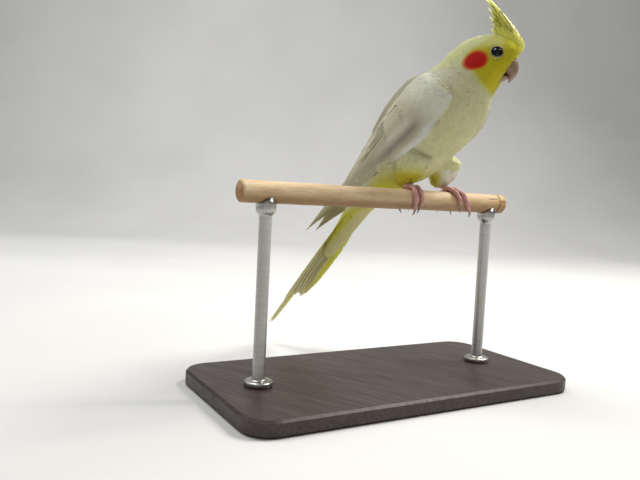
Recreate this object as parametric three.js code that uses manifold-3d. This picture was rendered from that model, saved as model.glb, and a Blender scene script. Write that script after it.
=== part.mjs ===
// A life-size still model of a cockatiel on a short wooden perch, on a plain display stand.
// Millimetres, +Z up, +X the way the bird's body faces, +Y its left side.
// The bird is drawn in its own frame, with the perch's axis through (0, 0, 0) between the feet, and is then
// lifted by PERCH_HEIGHT, so that the stand's underside is the plane Z = 0.
import * as THREE from "three";
import { mergeVertices } from "three/addons/utils/BufferGeometryUtils.js";
import Module from "manifold-3d";

const wasm = await Module();
wasm.setup();

// ---------------------------------------------------------------- driving dimensions
const GAP = 0.3; // between pieces that touch
const PERCH_HEIGHT = 130; // perch axis above the floor
const PERCH_R = 7; // a 14 mm dowel
const PERCH_TURN = 67; // degrees from the bird's forward direction to the perch's long axis
const PERCH_FROM = -150; // along the perch, from the point between the feet
const PERCH_TO = 65;
const HEAD_TURN = 20; // degrees that the head is turned to the bird's left
const HEAD_TURN_AXIS_X = 16;
const BASE_LENGTH = 250;
const BASE_WIDTH = 124;
const BASE_THICK = 10;
const BASE_CENTRE = -38; // along the perch
const ROD_R = 4;
const ROD_AT = [-132, 50]; // along the perch
const BODY_LIFT = 1.2; // how much higher the body sits than it was first drawn
const FEET_AT = { right: -20.5, left: 12.8 }; // along the perch

const deg = Math.PI / 180;
const V3 = (x, y, z) => new THREE.Vector3(x, y, z);
const clamp01 = (t) => Math.min(1, Math.max(0, t));
const smooth = (t) => {
  const c = clamp01(t);
  return c * c * (3 - 2 * c);
};
const lerp = (a, b, t) => a + (b - a) * t;

// ---------------------------------------------------------------- tools for closed meshes
// Catmull-Rom through the rows of a table, each row a list of numbers. t runs from 0 to rows - 1.
function row(table, t) {
  const n = table.length - 1;
  const c = Math.min(n - 1e-9, Math.max(0, t));
  const i = Math.floor(c);
  const f = c - i;
  const p = (k) => table[Math.min(n, Math.max(0, k))];
  return table[0].map((_, j) => {
    const [a, b, d, e] = [p(i - 1)[j], p(i)[j], p(i + 1)[j], p(i + 2)[j]];
    return (
      0.5 *
      (2 * b +
        (d - a) * f +
        (2 * a - 5 * b + 4 * d - e) * f * f +
        (3 * b - a - 3 * d + e) * f * f * f)
    );
  });
}

// A closed surface over rings of equally many points, each end closed by a fan.
function loft(rings) {
  const n = rings[0].length;
  const pos = [];
  const put = (v) => pos.push(v.x, v.y, v.z) / 3 - 1;
  rings.forEach((r) => r.forEach(put));
  const middle = (r) =>
    r.reduce((s, v) => s.add(v), V3(0, 0, 0)).multiplyScalar(1 / r.length);
  const first = put(middle(rings[0]));
  const last = put(middle(rings[rings.length - 1]));
  const index = [];
  for (let i = 0; i < rings.length - 1; i++)
    for (let j = 0; j < n; j++) {
      const a = i * n + j,
        b = i * n + ((j + 1) % n),
        c = a + n,
        d = b + n;
      index.push(a, b, d, a, d, c);
    }
  const e = (rings.length - 1) * n;
  for (let j = 0; j < n; j++) {
    index.push(first, (j + 1) % n, j);
    index.push(last, e + j, e + ((j + 1) % n));
  }
  const g = new THREE.BufferGeometry();
  g.setAttribute("position", new THREE.Float32BufferAttribute(pos, 3));
  g.setIndex(index);
  return g;
}

// three.js geometry to a manifold solid, turned the right way out.
function solid(geometry) {
  const g = geometry.clone();
  for (const name of Object.keys(g.attributes))
    if (name !== "position") g.deleteAttribute(name);
  const m = mergeVertices(g, 1e-4);
  const build = (tri) =>
    new wasm.Manifold(
      new wasm.Mesh({
        numProp: 3,
        vertProperties: new Float32Array(m.attributes.position.array),
        triVerts: new Uint32Array(tri),
      }),
    );
  const tri = Array.from(m.index.array);
  let s = build(tri);
  if (s.volume() < 0) {
    for (let i = 0; i < tri.length; i += 3)
      [tri[i + 1], tri[i + 2]] = [tri[i + 2], tri[i + 1]];
    s = build(tri);
  }
  return s;
}

// The same surface moved out by an amount, along its normals.
function grown(geometry, amount) {
  const g = geometry.clone();
  for (const name of Object.keys(g.attributes))
    if (name !== "position") g.deleteAttribute(name);
  const m = mergeVertices(g, 1e-4);
  m.computeVertexNormals();
  const p = m.getAttribute("position");
  const n = m.getAttribute("normal");
  const ix = m.index.array;
  const [a, b, c] = [V3(), V3(), V3()];
  let volume = 0;
  for (let i = 0; i < ix.length; i += 3) {
    a.fromBufferAttribute(p, ix[i]);
    b.fromBufferAttribute(p, ix[i + 1]);
    c.fromBufferAttribute(p, ix[i + 2]);
    volume += a.dot(b.cross(c));
  }
  const by = volume > 0 ? amount : -amount;
  for (let i = 0; i < p.count; i++)
    p.setXYZ(
      i,
      p.getX(i) + by * n.getX(i),
      p.getY(i) + by * n.getY(i),
      p.getZ(i) + by * n.getZ(i),
    );
  m.deleteAttribute("normal");
  return m;
}

function biggest(s) {
  const parts = s.decompose();
  return parts.reduce((a, b) => (b.volume() > a.volume() ? b : a));
}

function geometryOf(s) {
  const m = s.getMesh();
  const v = new Float32Array(m.numVert * 3);
  for (let i = 0; i < m.numVert; i++)
    for (let k = 0; k < 3; k++)
      v[i * 3 + k] = m.vertProperties[i * m.numProp + k];
  const g = new THREE.BufferGeometry();
  g.setAttribute("position", new THREE.BufferAttribute(v, 3));
  g.setIndex(new THREE.BufferAttribute(new Uint32Array(m.triVerts), 1));
  return g;
}

const box = (lo, hi) => {
  const g = new THREE.BoxGeometry(hi[0] - lo[0], hi[1] - lo[1], hi[2] - lo[2]);
  g.translate((lo[0] + hi[0]) / 2, (lo[1] + hi[1]) / 2, (lo[2] + hi[2]) / 2);
  return g;
};

// A round or flattened bar along points, with a width (sideways) and a depth (along its normal) at each point.
// sideOf gives the sideways direction there.
function bar(points, widths, depths, sideOf, sides = 8, n = points.length) {
  const curve = new THREE.CatmullRomCurve3(points, false, "centripetal");
  const rings = [];
  for (let i = 0; i <= n; i++) {
    const t = i / n;
    const p = curve.getPoint(t);
    const tan = curve.getTangent(t).normalize();
    const side = sideOf(p, t).clone();
    side.addScaledVector(tan, -side.dot(tan)).normalize();
    const up = side.clone().cross(tan).normalize();
    const [w] = row(
      widths.map((x) => [x]),
      t * (widths.length - 1),
    );
    const [d] = row(
      depths.map((x) => [x]),
      t * (depths.length - 1),
    );
    const ring = [];
    for (let j = 0; j < sides; j++) {
      const a = (j / sides) * 2 * Math.PI;
      ring.push(
        p
          .clone()
          .addScaledVector(side, Math.max(0.12, w) * Math.cos(a))
          .addScaledVector(up, Math.max(0.12, d) * Math.sin(a)),
      );
    }
    rings.push(ring);
  }
  return loft(rings);
}

// ---------------------------------------------------------------- the body, from the face to the under-tail coverts
// Each row is one cross-section, in the plane through its top point, its bottom point and the sideways axis:
// top x, top z, bottom x, bottom z, half width, skew (below 0 is wider towards the bottom).
const BODY = [
  [50.2, 98.4, 39.8, 81.6, 5.6, 0.0], // behind the bill
  [52.4, 101.4, 39.4, 79.4, 8.6, -0.04],
  [52.2, 105.4, 38.6, 77.2, 10.9, -0.06],
  [49.2, 108.8, 37.6, 75.4, 12.5, -0.08],
  [44.6, 111.2, 36.8, 73.7, 13.6, -0.09], // eyes
  [38.0, 112.4, 35.9, 71.9, 14.5, -0.1],
  [30.8, 112.8, 35.2, 69.6, 15.2, -0.1], // cheeks
  [22.4, 111.4, 34.9, 66.6, 15.6, -0.09],
  [14.2, 107.9, 34.6, 63.0, 15.9, -0.08], // nape
  [6.4, 101.9, 33.8, 59.2, 16.9, -0.06],
  [-0.8, 95.4, 32.4, 55.2, 18.9, -0.03],
  [-8.0, 89.2, 30.4, 51.0, 21.2, 0.0], // shoulders
  [-15.6, 82.2, 27.2, 46.6, 23.0, 0.02],
  [-23.8, 73.8, 22.8, 41.8, 23.9, 0.03],
  [-31.8, 64.4, 16.8, 36.6, 24.1, 0.04],
  [-39.2, 54.2, 9.0, 29.8, 23.6, 0.05],
  [-46.0, 43.6, -0.2, 21.8, 22.2, 0.04],
  [-53.0, 32.8, -10.4, 14.4, 19.8, 0.04],
  [-59.4, 22.0, -21.8, 9.8, 16.9, 0.06],
  [-64.6, 11.6, -33.6, 4.2, 14.4, 0.06], // vent
  [-68.6, 1.6, -45.4, -3.2, 12.8, 0.04],
  [-72.8, -8.2, -56.6, -12.6, 11.8, 0.0],
  [-78.4, -18.2, -67.2, -24.0, 11.0, 0.0],
  [-84.8, -28.2, -77.2, -36.0, 9.8, 0.0],
  [-91.2, -38.0, -87.0, -47.6, 7.8, 0.0], // end of the tail coverts
];
const STEPS_PER_ROW = 1;

// A point of the body's surface: t along the rows, a round the section from 0 at the top.
function bodyPoint(t, a, grow = 0) {
  const [tx, tz, bx, bz, w, skew] = row(BODY, t);
  const top = V3(tx, 0, tz);
  const bottom = V3(bx, 0, bz);
  const half = top.distanceTo(bottom) / 2;
  const up = top.clone().sub(bottom).normalize();
  const mid = top.add(bottom).multiplyScalar(0.5);
  const c = Math.cos(a);
  const s = Math.sin(a);
  return mid
    .addScaledVector(up, (half + grow) * c)
    .add(V3(0, (w + grow) * s * (1 + skew * c), 0));
}
function bodyRings(from, to, grow = 0, around = 22) {
  const rings = [];
  const n = Math.round((to - from) * STEPS_PER_ROW);
  for (let i = 0; i <= n; i++) {
    const t = lerp(from, to, i / n);
    const ring = [];
    for (let j = 0; j < around; j++)
      ring.push(bodyPoint(t, (j / around) * 2 * Math.PI, grow));
    rings.push(ring);
  }
  return rings;
}
// The rounded ends: the face closes behind the bill, the coverts close on the tail.
function body(grow = 0) {
  const rings = bodyRings(0, BODY.length - 1, grow);
  const cap = (ring, dir, length, steps) => {
    const mid = ring
      .reduce((s, v) => s.add(v), V3(0, 0, 0))
      .multiplyScalar(1 / ring.length);
    const out = [];
    for (let i = 1; i <= steps; i++) {
      const q = (i / (steps + 0.35)) * (Math.PI / 2);
      out.push(
        ring.map((v) =>
          v
            .clone()
            .sub(mid)
            .multiplyScalar(Math.cos(q))
            .add(mid)
            .addScaledVector(dir, (length + grow) * Math.sin(q)),
        ),
      );
    }
    return out;
  };
  const face = cap(rings[0], V3(0.9, 0, -0.44), 0.8, 1).reverse();
  const end = cap(rings[rings.length - 1], V3(-0.615, 0, -0.789), 7, 2);
  return loft([...face, ...rings, ...end]);
}

// The head's turn: nothing below the shoulders, all of it from the nape and chin upwards.
function turnHead(v) {
  const s = smooth((0.75 * (v.x - 10) + 0.66 * (v.z - 80)) / 22);
  const a = HEAD_TURN * deg * s;
  const x = v.x - HEAD_TURN_AXIS_X;
  return V3(
    HEAD_TURN_AXIS_X + x * Math.cos(a) - v.y * Math.sin(a),
    x * Math.sin(a) + v.y * Math.cos(a),
    v.z + BODY_LIFT,
  );
}
const turned = (g) => {
  const p = g.getAttribute("position");
  for (let i = 0; i < p.count; i++) {
    const v = turnHead(V3().fromBufferAttribute(p, i));
    p.setXYZ(i, v.x, v.y, v.z);
  }
  return g;
};

// ---------------------------------------------------------------- bill
// Each row: ridge x, ridge z, edge x, edge z, half width.
const UPPER_BILL = [
  [45.4, 99.0, 37.6, 90.4, 5.4],
  [48.2, 98.4, 39.6, 88.4, 6.0],
  [50.4, 96.2, 41.6, 86.9, 5.9],
  [51.5, 93.0, 43.2, 86.1, 5.2],
  [51.8, 89.8, 44.6, 85.4, 4.4],
  [51.2, 86.9, 45.4, 84.4, 3.5],
  [49.8, 84.3, 45.7, 83.0, 2.5],
  [48.0, 82.2, 45.6, 81.8, 1.4],
  [46.3, 80.7, 45.5, 80.9, 0.5],
];
const LOWER_BILL = [
  [38.8, 87.6, 36.0, 80.6, 4.6],
  [41.2, 86.4, 38.6, 80.0, 5.0],
  [43.4, 85.2, 41.2, 80.6, 4.3],
  [44.8, 84.4, 43.2, 81.6, 3.2],
  [45.6, 83.8, 44.6, 82.4, 1.8],
];
function billRings(table, grow, around = 16, flat = 0.55, per = 1) {
  const rings = [];
  const n = (table.length - 1) * per;
  for (let i = 0; i <= n; i++) {
    const [tx, tz, bx, bz, w] = row(table, (i / n) * (table.length - 1));
    const top = V3(tx, 0, tz);
    const bottom = V3(bx, 0, bz);
    const half = top.distanceTo(bottom) / 2;
    const up = top.clone().sub(bottom).normalize();
    const mid = top.clone().add(bottom).multiplyScalar(0.5);
    const ring = [];
    for (let j = 0; j < around; j++) {
      const a = (j / around) * 2 * Math.PI;
      const c = Math.cos(a);
      const s = Math.sin(a);
      // a rounded ridge on top and fuller sides towards the cutting edge
      const wide = (w + grow) * s * (1 - (1 - flat) * 0.45 * Math.max(0, c));
      ring.push(
        mid
          .clone()
          .addScaledVector(up, (half + grow) * c)
          .add(V3(0, wide, 0)),
      );
    }
    rings.push(ring);
  }
  return rings;
}

// ---------------------------------------------------------------- eyes
const EYE = { x: 37.2, z: 97.6, y: 9.95, r: 4.2 };

// ---------------------------------------------------------------- wings
// The wing's own axes in side view: along s from the wrist towards the tip, across v towards the back.
const WING_O = [16, 68];
const WING_A = [-0.66, -0.751];
const WING_N = [-0.751, 0.66];
// s, v of the top edge, v of the bottom edge, y of the top edge, y at the bulge, y of the bottom edge, thickness
const WING = [
  [-4.4, 14.0, 1.0, 19.5, 21.6, 20.4, 5.0],
  [-2.6, 22.0, -1.6, 16.0, 23.6, 22.4, 6.0],
  [2.5, 30.6, -3.8, 12.0, 25.2, 24.6, 6.5],
  [11, 34.6, -5.4, 9.6, 26.3, 26.0, 6.0],
  [25, 37.2, -6.4, 6.8, 27.0, 26.6, 5.0],
  [38, 38.6, -5.2, 4.4, 26.9, 26.0, 4.4],
  [50, 38.4, -2.2, 2.6, 26.0, 24.4, 4.0],
  [62, 37.0, 1.8, 1.6, 24.0, 21.8, 3.6],
  [74, 35.8, 5.8, 1.4, 21.2, 18.6, 3.2],
  [87, 35.2, 10.2, 1.8, 18.0, 15.4, 2.8],
  [100, 34.4, 14.0, 2.6, 14.8, 12.6, 2.4],
  [113, 33.4, 17.6, 3.4, 12.2, 10.4, 2.0],
  [127, 32.4, 21.6, 4.4, 10.0, 8.8, 1.7],
  [140, 31.6, 25.4, 5.4, 8.6, 7.9, 1.4],
  [151, 31.0, 28.4, 6.2, 7.6, 7.3, 1.2],
  [158.5, 30.7, 30.0, 6.8, 7.1, 7.0, 1.0],
];
function wingPoint(s, v, y, side) {
  return V3(
    WING_O[0] + s * WING_A[0] + v * WING_N[0],
    side * y,
    WING_O[1] + s * WING_A[1] + v * WING_N[1],
  );
}
function wingBlank(side) {
  const rings = [];
  const steps = WING.length - 1;
  const across = 7;
  for (let i = 0; i <= steps; i++) {
    const [s, vT, vB, yT, yM, yB, th] = row(
      WING,
      (i / steps) * (WING.length - 1),
    );
    const outer = [];
    for (let j = 0; j <= across; j++) {
      const u = j / across;
      const v = lerp(vT, vB, u);
      const uM = 0.66;
      const y =
        u < uM
          ? lerp(yT, yM, Math.sin((Math.PI / 2) * Math.pow(u / uM, 0.86)))
          : lerp(yM, yB, Math.pow((u - uM) / (1 - uM), 2));
      outer.push([s, v, y]);
    }
    const ring = outer.map(([a, b, c]) => wingPoint(a, b, c, side));
    // the inner face: the same curve, moved inwards along its own normal
    for (let j = across; j >= 0; j--) {
      const [, v0, y0] = outer[Math.max(0, j - 1)];
      const [, v1, y1] = outer[Math.min(across, j + 1)];
      let nv = y1 - y0;
      let ny = -(v1 - v0);
      const l = Math.hypot(nv, ny);
      nv /= l;
      ny /= l;
      const edge = j === 0 || j === across ? 0.5 : 1;
      const [a, v, y] = outer[j];
      ring.push(
        wingPoint(a, v - nv * th * edge, Math.max(0.25, y - ny * th * edge), side),
      );
    }
    rings.push(ring);
  }
  return loft(rings);
}

// ---------------------------------------------------------------- tail
// A closed, roof-shaped fan of twelve feathers, the middle pair longest and on top.
const TAIL_ROOT = V3(-62.5, 0, 2.0);
const TAIL_TIP = V3(-150.2, 0, -111.1);
const TAIL_DIR = TAIL_TIP.clone().sub(TAIL_ROOT).normalize();
const TAIL_DOWN = V3(-TAIL_DIR.z, 0, TAIL_DIR.x); // square to the tail, towards its underside
const TAIL_LENGTH = TAIL_TIP.distanceTo(TAIL_ROOT);
const TAIL_VANE = 0.55; // half the thickness of a feather
// each pair: length as a share of the whole, sideways place of its middle, width
const TAIL_FEATHERS = [
  { length: 1.0, at: 1.7, width: 7.2 },
  { length: 0.76, at: 5.0, width: 9.2 },
  { length: 0.75, at: 8.0, width: 9.4 },
  { length: 0.765, at: 10.6, width: 9.0 },
  { length: 0.735, at: 12.4, width: 8.6 },
  { length: 0.7, at: 13.4, width: 8.2 },
];
// how far the roof falls from its ridge, at y
const roof = (y) => 0.36 * (Math.sqrt(y * y + 6.25) - 2.5);
function tailFeather(i, side) {
  const f = TAIL_FEATHERS[i];
  const stops = [0, 0.22, 0.45, 0.68, 0.84, 0.94, 1];
  const rings = [];
  for (const k of stops) {
    const along = k * f.length * TAIL_LENGTH;
    const at = f.at * (0.6 + 0.4 * smooth(k * 1.6));
    // vane outline: narrow at the root, full in the middle, drawn to a rounded point
    const half =
      (f.width / 2) *
      (0.62 + 0.38 * smooth(k * 3)) *
      (k < 0.7 ? 1 : Math.sqrt(Math.max(0.008, 1 - Math.pow((k - 0.7) / 0.3, 2))));
    const ring = [];
    for (const [a, b] of [
      [-1, -0.7],
      [0, -1],
      [1, -0.7],
      [1, 0.7],
      [0, 1],
      [-1, 0.7],
    ]) {
      const y = side * at + a * half;
      ring.push(
        TAIL_ROOT.clone()
          .addScaledVector(TAIL_DIR, along)
          .addScaledVector(TAIL_DOWN, roof(y) + 0.4 * i + b * TAIL_VANE)
          .add(V3(0, y, 0)),
      );
    }
    rings.push(ring);
  }
  return loft(rings);
}

// ---------------------------------------------------------------- crest
// root x, root z, middle x, middle z, tip x, tip z, root y, tip y, half width
const CREST = [
  [51.4, 104.6, 46.4, 117.2, 24.4, 141.6, 0.0, 0.0, 1.9],
  [51.0, 104.8, 46.2, 116.4, 26.4, 138.0, 1.8, 1.0, 1.9],
  [51.0, 104.8, 46.0, 116.0, 27.4, 135.8, -1.8, -1.2, 1.9],
  [49.6, 106.6, 44.6, 115.8, 28.8, 131.6, 0.6, 1.6, 1.9],
  [49.4, 106.6, 43.8, 115.4, 29.8, 129.0, -1.6, -1.8, 1.9],
  [47.6, 108.0, 42.0, 115.0, 30.2, 126.0, 2.4, 2.2, 1.8],
  [47.4, 108.0, 41.4, 114.6, 30.2, 123.2, -2.4, -2.2, 1.8],
  [45.0, 109.4, 39.6, 114.4, 31.4, 120.4, 0.4, 0.6, 1.9],
  [42.4, 110.4, 37.4, 113.6, 31.8, 117.2, -1.4, -1.4, 1.8],
  [42.2, 110.4, 37.4, 113.4, 32.0, 116.4, 1.6, 1.6, 1.8],
];
function crestBase() {
  // the feathered lump on the forehead that the crest grows from
  const rows = [
    [53.2, 100.6, 50.0, 99.6, 2.6],
    [54.0, 103.6, 48.4, 102.0, 5.0],
    [53.4, 107.4, 45.8, 104.0, 6.2],
    [51.0, 111.4, 41.6, 107.0, 6.2],
    [47.8, 114.8, 38.0, 109.6, 5.2],
    [44.0, 118.6, 35.8, 111.6, 3.9],
    [39.6, 122.6, 34.2, 114.4, 2.6],
    [34.8, 126.4, 32.6, 118.4, 1.2],
  ];
  return loft(billRings(rows, 0, 12, 0.8, 1));
}

// ---------------------------------------------------------------- legs and feet
const PERCH_DIR = V3(Math.cos(PERCH_TURN * deg), Math.sin(PERCH_TURN * deg), 0);
const PERCH_FRONT = V3(
  Math.sin(PERCH_TURN * deg),
  -Math.cos(PERCH_TURN * deg),
  0,
);
// A point near the perch: along it, degrees round it from the top towards the front, and out from its axis.
const onPerch = (along, angle, out) =>
  PERCH_DIR.clone()
    .multiplyScalar(along)
    .addScaledVector(PERCH_FRONT, out * Math.sin(angle * deg))
    .add(V3(0, 0, out * Math.cos(angle * deg)));

// Toes: two forwards (inner and outer) and two backwards. [along, angle] pairs from the ball of the foot to the claw's root.
const TOES = {
  right: [
    { name: "front_outer", r: 1.9, path: [[-20.6, -24], [-22.4, 14], [-24.0, 54], [-23.8, 92], [-22.8, 128]], claw: [[-22.4, 132], [-21.2, 154], [-20.0, 176]] },
    { name: "front_inner", r: 1.75, path: [[-20.4, -24], [-18.4, 14], [-18.4, 50], [-18.2, 84], [-18.4, 114]], claw: [[-18.8, 118], [-19.2, 134], [-19.8, 150]] },
    { name: "back_outer", r: 1.7, path: [[-20.8, -18], [-23.6, -48], [-25.6, -84], [-26.2, -118]], claw: [[-26.3, -122], [-26.4, -138], [-26.0, -156]] },
    { name: "back_inner", r: 1.5, path: [[-20.2, -18], [-18.0, -48], [-17.0, -80], [-16.8, -104]], claw: [[-16.8, -108], [-17.0, -122], [-17.6, -138]] },
  ],
  left: [
    { name: "front_outer", r: 1.9, path: [[12.9, -24], [16.0, 12], [19.6, 54], [22.4, 92], [26.0, 126]], claw: [[26.6, 130], [29.4, 152], [31.4, 174]] },
    { name: "front_inner", r: 1.75, path: [[12.7, -24], [12.4, 10], [14.0, 42], [15.2, 74], [16.0, 100]], claw: [[16.1, 104], [16.4, 120], [16.8, 136]] },
    { name: "back_outer", r: 1.7, path: [[13.2, -18], [16.8, -46], [19.4, -82], [20.2, -114]], claw: [[20.3, -118], [20.4, -134], [20.0, -152]] },
    { name: "back_inner", r: 1.5, path: [[12.6, -18], [10.0, -48], [8.6, -80], [8.2, -104]], claw: [[8.2, -108], [8.2, -122], [8.6, -138]] },
  ],
};
const HEEL = { right: V3(-20.5, -14.2, 10.9), left: V3(-7.6, 16.0, 12.2) };
const HIP = { right: V3(-8, -13.5, 34), left: V3(0.5, 13.5, 33) };

function toeBar(toe) {
  const pts = [];
  const n = toe.path.length - 1;
  const widths = [];
  for (let i = 0; i <= n * 2; i++) {
    const [along, angle] = row(toe.path, i / 2);
    const k = i / (n * 2);
    const swell = 1 - 0.26 * k + 0.1 * Math.cos(k * n * 2 * Math.PI); // knuckles
    const r = toe.r * swell;
    widths.push(r);
    pts.push(onPerch(along, angle, PERCH_R + GAP + r * 0.84));
  }
  return bar(pts, widths, widths.map((w) => w * 0.92), () => PERCH_DIR, 6);
}
function clawBar(toe) {
  const pts = [];
  const widths = [];
  for (let i = 0; i <= 3; i++) {
    const [along, angle] = row(toe.claw, (i / 3) * (toe.claw.length - 1));
    const k = i / 3;
    pts.push(onPerch(along, angle, PERCH_R + GAP + toe.r * 0.78 + 2.2 * k * k));
    widths.push(lerp(toe.r * 0.6, 0.25, Math.pow(k, 1.3)));
  }
  return bar(pts, widths, widths, () => PERCH_DIR, 6);
}
function thigh(side) {
  // feathered tibia, from inside the belly down to the heel
  const s = side === "left" ? 1 : -1;
  const hip = HIP[side];
  const heel = HEEL[side];
  const rows = [
    [0.0, 9.5, 12.0],
    [0.25, 10.0, 11.8],
    [0.5, 9.2, 10.4],
    [0.72, 7.4, 8.4],
    [0.88, 5.4, 6.4],
    [1.0, 3.8, 4.6],
    [1.06, 2.6, 3.0],
  ];
  const rings = [];
  for (let i = 0; i <= 7; i++) {
    const [k, w, d] = row(rows, (i / 7) * (rows.length - 1));
    const p = hip
      .clone()
      .lerp(heel, k)
      .add(V3(0.8 * Math.sin(Math.PI * Math.min(1, k)), s * 1.2 * Math.sin(Math.PI * Math.min(1, k)), 0));
    const axis = heel.clone().sub(hip).normalize();
    const fore = V3(1, 0, 0).addScaledVector(axis, -axis.x).normalize();
    const lat = axis.clone().cross(fore).normalize();
    const ring = [];
    for (let j = 0; j < 14; j++) {
      const a = (j / 14) * 2 * Math.PI;
      ring.push(
        p
          .clone()
          .addScaledVector(fore, d * Math.cos(a))
          .addScaledVector(lat, w * Math.sin(a)),
      );
    }
    rings.push(ring);
  }
  return loft(rings);
}

// ---------------------------------------------------------------- assembly
const bird = new THREE.Group();
bird.position.z = PERCH_HEIGHT;
const stand = new THREE.Group();
const model = new THREE.Group();
model.add(bird, stand);

const COLOURS = {
  plumage: { color: 0xf1efe2, roughness: 0.85, metalness: 0 },
  yellow: { color: 0xf0e45c, roughness: 0.85, metalness: 0 },
  bill: { color: 0xb59c88, roughness: 0.45, metalness: 0 },
  eye: { color: 0x120c0a, roughness: 0.08, metalness: 0 },
  skin: { color: 0xd59a94, roughness: 0.6, metalness: 0 },
  claw: { color: 0x9b7f78, roughness: 0.4, metalness: 0 },
  wood: { color: 0xd9b27c, roughness: 0.6, metalness: 0 },
  base: { color: 0x2c2622, roughness: 0.45, metalness: 0 },
  rod: { color: 0x8d8a84, roughness: 0.35, metalness: 1 },
};
function add(group, name, what, look) {
  const mesh = new THREE.Mesh(what, new THREE.MeshStandardMaterial(COLOURS[look]));
  mesh.name = name;
  group.add(mesh);
  return mesh;
}

const perchBlank = (grow) => {
  const g = new THREE.CylinderGeometry(
    PERCH_R + grow,
    PERCH_R + grow,
    PERCH_TO - PERCH_FROM + 2 * grow,
    24,
    1,
  );
  g.translate(0, (PERCH_FROM + PERCH_TO) / 2, 0);
  g.rotateZ((PERCH_TURN - 90) * deg);
  return g;
};
const perchCut = solid(perchBlank(GAP));

// body in three: head, neck and trunk, parted by thin cuts across it
const whole = solid(turned(body()));
const wholeCut = solid(grown(turned(body()), GAP));
// a slab of space between two planes square to dir, from a to b along it
function between(origin, dir, a, b) {
  const g = box([a, -80, -120], [b, 80, 120]);
  g.applyQuaternion(
    new THREE.Quaternion().setFromUnitVectors(V3(1, 0, 0), dir.clone().normalize()),
  );
  g.translate(origin.x, origin.y, origin.z);
  return solid(g);
}
const NECK_TOP = { at: V3(24, 0, 88), dir: V3(-0.86, 0, -0.51) };
const NECK_BASE = { at: V3(11, 0, 74), dir: V3(-0.74, 0, -0.67) };

const upper = solid(turned(loft(billRings(UPPER_BILL, 0))));
const upperCut = solid(grown(turned(loft(billRings(UPPER_BILL, 0))), GAP));
const lowerCut = solid(grown(turned(loft(billRings(LOWER_BILL, 0, 14, 0.9))), GAP));
const lower = solid(turned(loft(billRings(LOWER_BILL, 0, 14, 0.9))));
const eyeBall = (side, grow) => {
  const g = new THREE.SphereGeometry(EYE.r + grow, 14, 9);
  g.rotateX(Math.PI / 2);
  g.translate(EYE.x, side * EYE.y, EYE.z);
  return g;
};
const sockets = solid(turned(eyeBall(1, GAP))).add(solid(turned(eyeBall(-1, GAP))));

let headPart = whole.subtract(between(NECK_TOP.at, NECK_TOP.dir, 0, 400));
headPart = biggest(
  headPart.subtract(sockets).subtract(upperCut).subtract(lowerCut),
);
const neckPart = biggest(
  whole
    .subtract(between(NECK_TOP.at, NECK_TOP.dir, -400, GAP))
    .subtract(between(NECK_BASE.at, NECK_BASE.dir, 0, 400)),
);
let trunkPart = whole.subtract(between(NECK_BASE.at, NECK_BASE.dir, -400, GAP));

// tail: one solid of twelve feathers, cut clear of the trunk
let tailPart = null;
for (let i = 0; i < TAIL_FEATHERS.length; i++)
  for (const side of [1, -1]) {
    const s = solid(tailFeather(i, side));
    tailPart = tailPart ? tailPart.add(s) : s;
  }
// the tail's roots are buried in the coverts; the coverts make way for them
tailPart = biggest(tailPart.subtract(wholeCut));

add(bird, "head", geometryOf(headPart), "yellow");
add(bird, "neck", geometryOf(neckPart), "plumage");
add(bird, "trunk", geometryOf(biggest(trunkPart)), "plumage");
add(bird, "tail", geometryOf(tailPart), "yellow");

add(bird, "bill_upper", geometryOf(upper), "bill");
add(
  bird,
  "bill_lower",
  geometryOf(biggest(lower.subtract(upperCut))),
  "bill",
);
for (const [side, s] of [["left", 1], ["right", -1]])
  add(bird, "eye_" + side, turned(eyeBall(s, 0)), "eye");

let crestPart = solid(turned(crestBase()));
for (const [rx, rz, mx, mz, tx, tz, ry, ty, w] of CREST) {
  const c = new THREE.QuadraticBezierCurve3(V3(rx, ry, rz), V3(mx, (ry + ty) / 2, mz), V3(tx, ty, tz));
  const blade = bar(
    c.getPoints(4),
    [w * 0.9, w * 1.05, w, w * 0.75, 0.3],
    [1.0, 1.0, 0.95, 0.7, 0.3],
    () => V3(0, 1, 0),
    6,
  );
  crestPart = crestPart.add(solid(turned(blade)));
}
crestPart = biggest(crestPart.subtract(wholeCut).subtract(upperCut));
add(bird, "crest", geometryOf(crestPart), "yellow");

// legs
for (const side of ["right", "left"]) {
  const leg = biggest(
    solid(thigh(side)).subtract(wholeCut).subtract(perchCut),
  );
  const s = side === "left" ? 1 : -1;
  add(bird, "leg_" + side, geometryOf(leg), "yellow");
  const heel = HEEL[side];
  const ball = onPerch(FEET_AT[side], -14, PERCH_R + GAP + 2.0);
  const tarsus = bar(
    [
      heel.clone().lerp(ball, 0.1),
      heel.clone().lerp(ball, 0.4).add(V3(0, 0, 0.2)),
      heel.clone().lerp(ball, 0.75),
      ball.clone(),
      ball.clone().addScaledVector(ball.clone().sub(heel).normalize(), 1.6),
    ],
    [2.1, 1.9, 2.2, 2.6, 2.2],
    [2.0, 1.8, 1.9, 2.0, 1.7],
    () => PERCH_DIR,
    8,
  );
  let foot = solid(tarsus);
  for (const toe of TOES[side]) foot = foot.add(solid(toeBar(toe)));
  const thighCut = solid(grown(thigh(side), GAP));
  const claws = TOES[side].map((toe) => solid(clawBar(toe)));
  foot = foot.subtract(perchCut).subtract(thighCut).subtract(wholeCut);
  foot = biggest(foot);
  add(bird, "foot_" + side, geometryOf(foot), "skin");
  TOES[side].forEach((toe, i) => {
    const claw = biggest(
      claws[i].subtract(solid(grown(toeBar(toe), GAP))).subtract(perchCut),
    );
    add(bird, "claw_" + side + "_" + toe.name, geometryOf(claw), "claw");
  });
}
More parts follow.
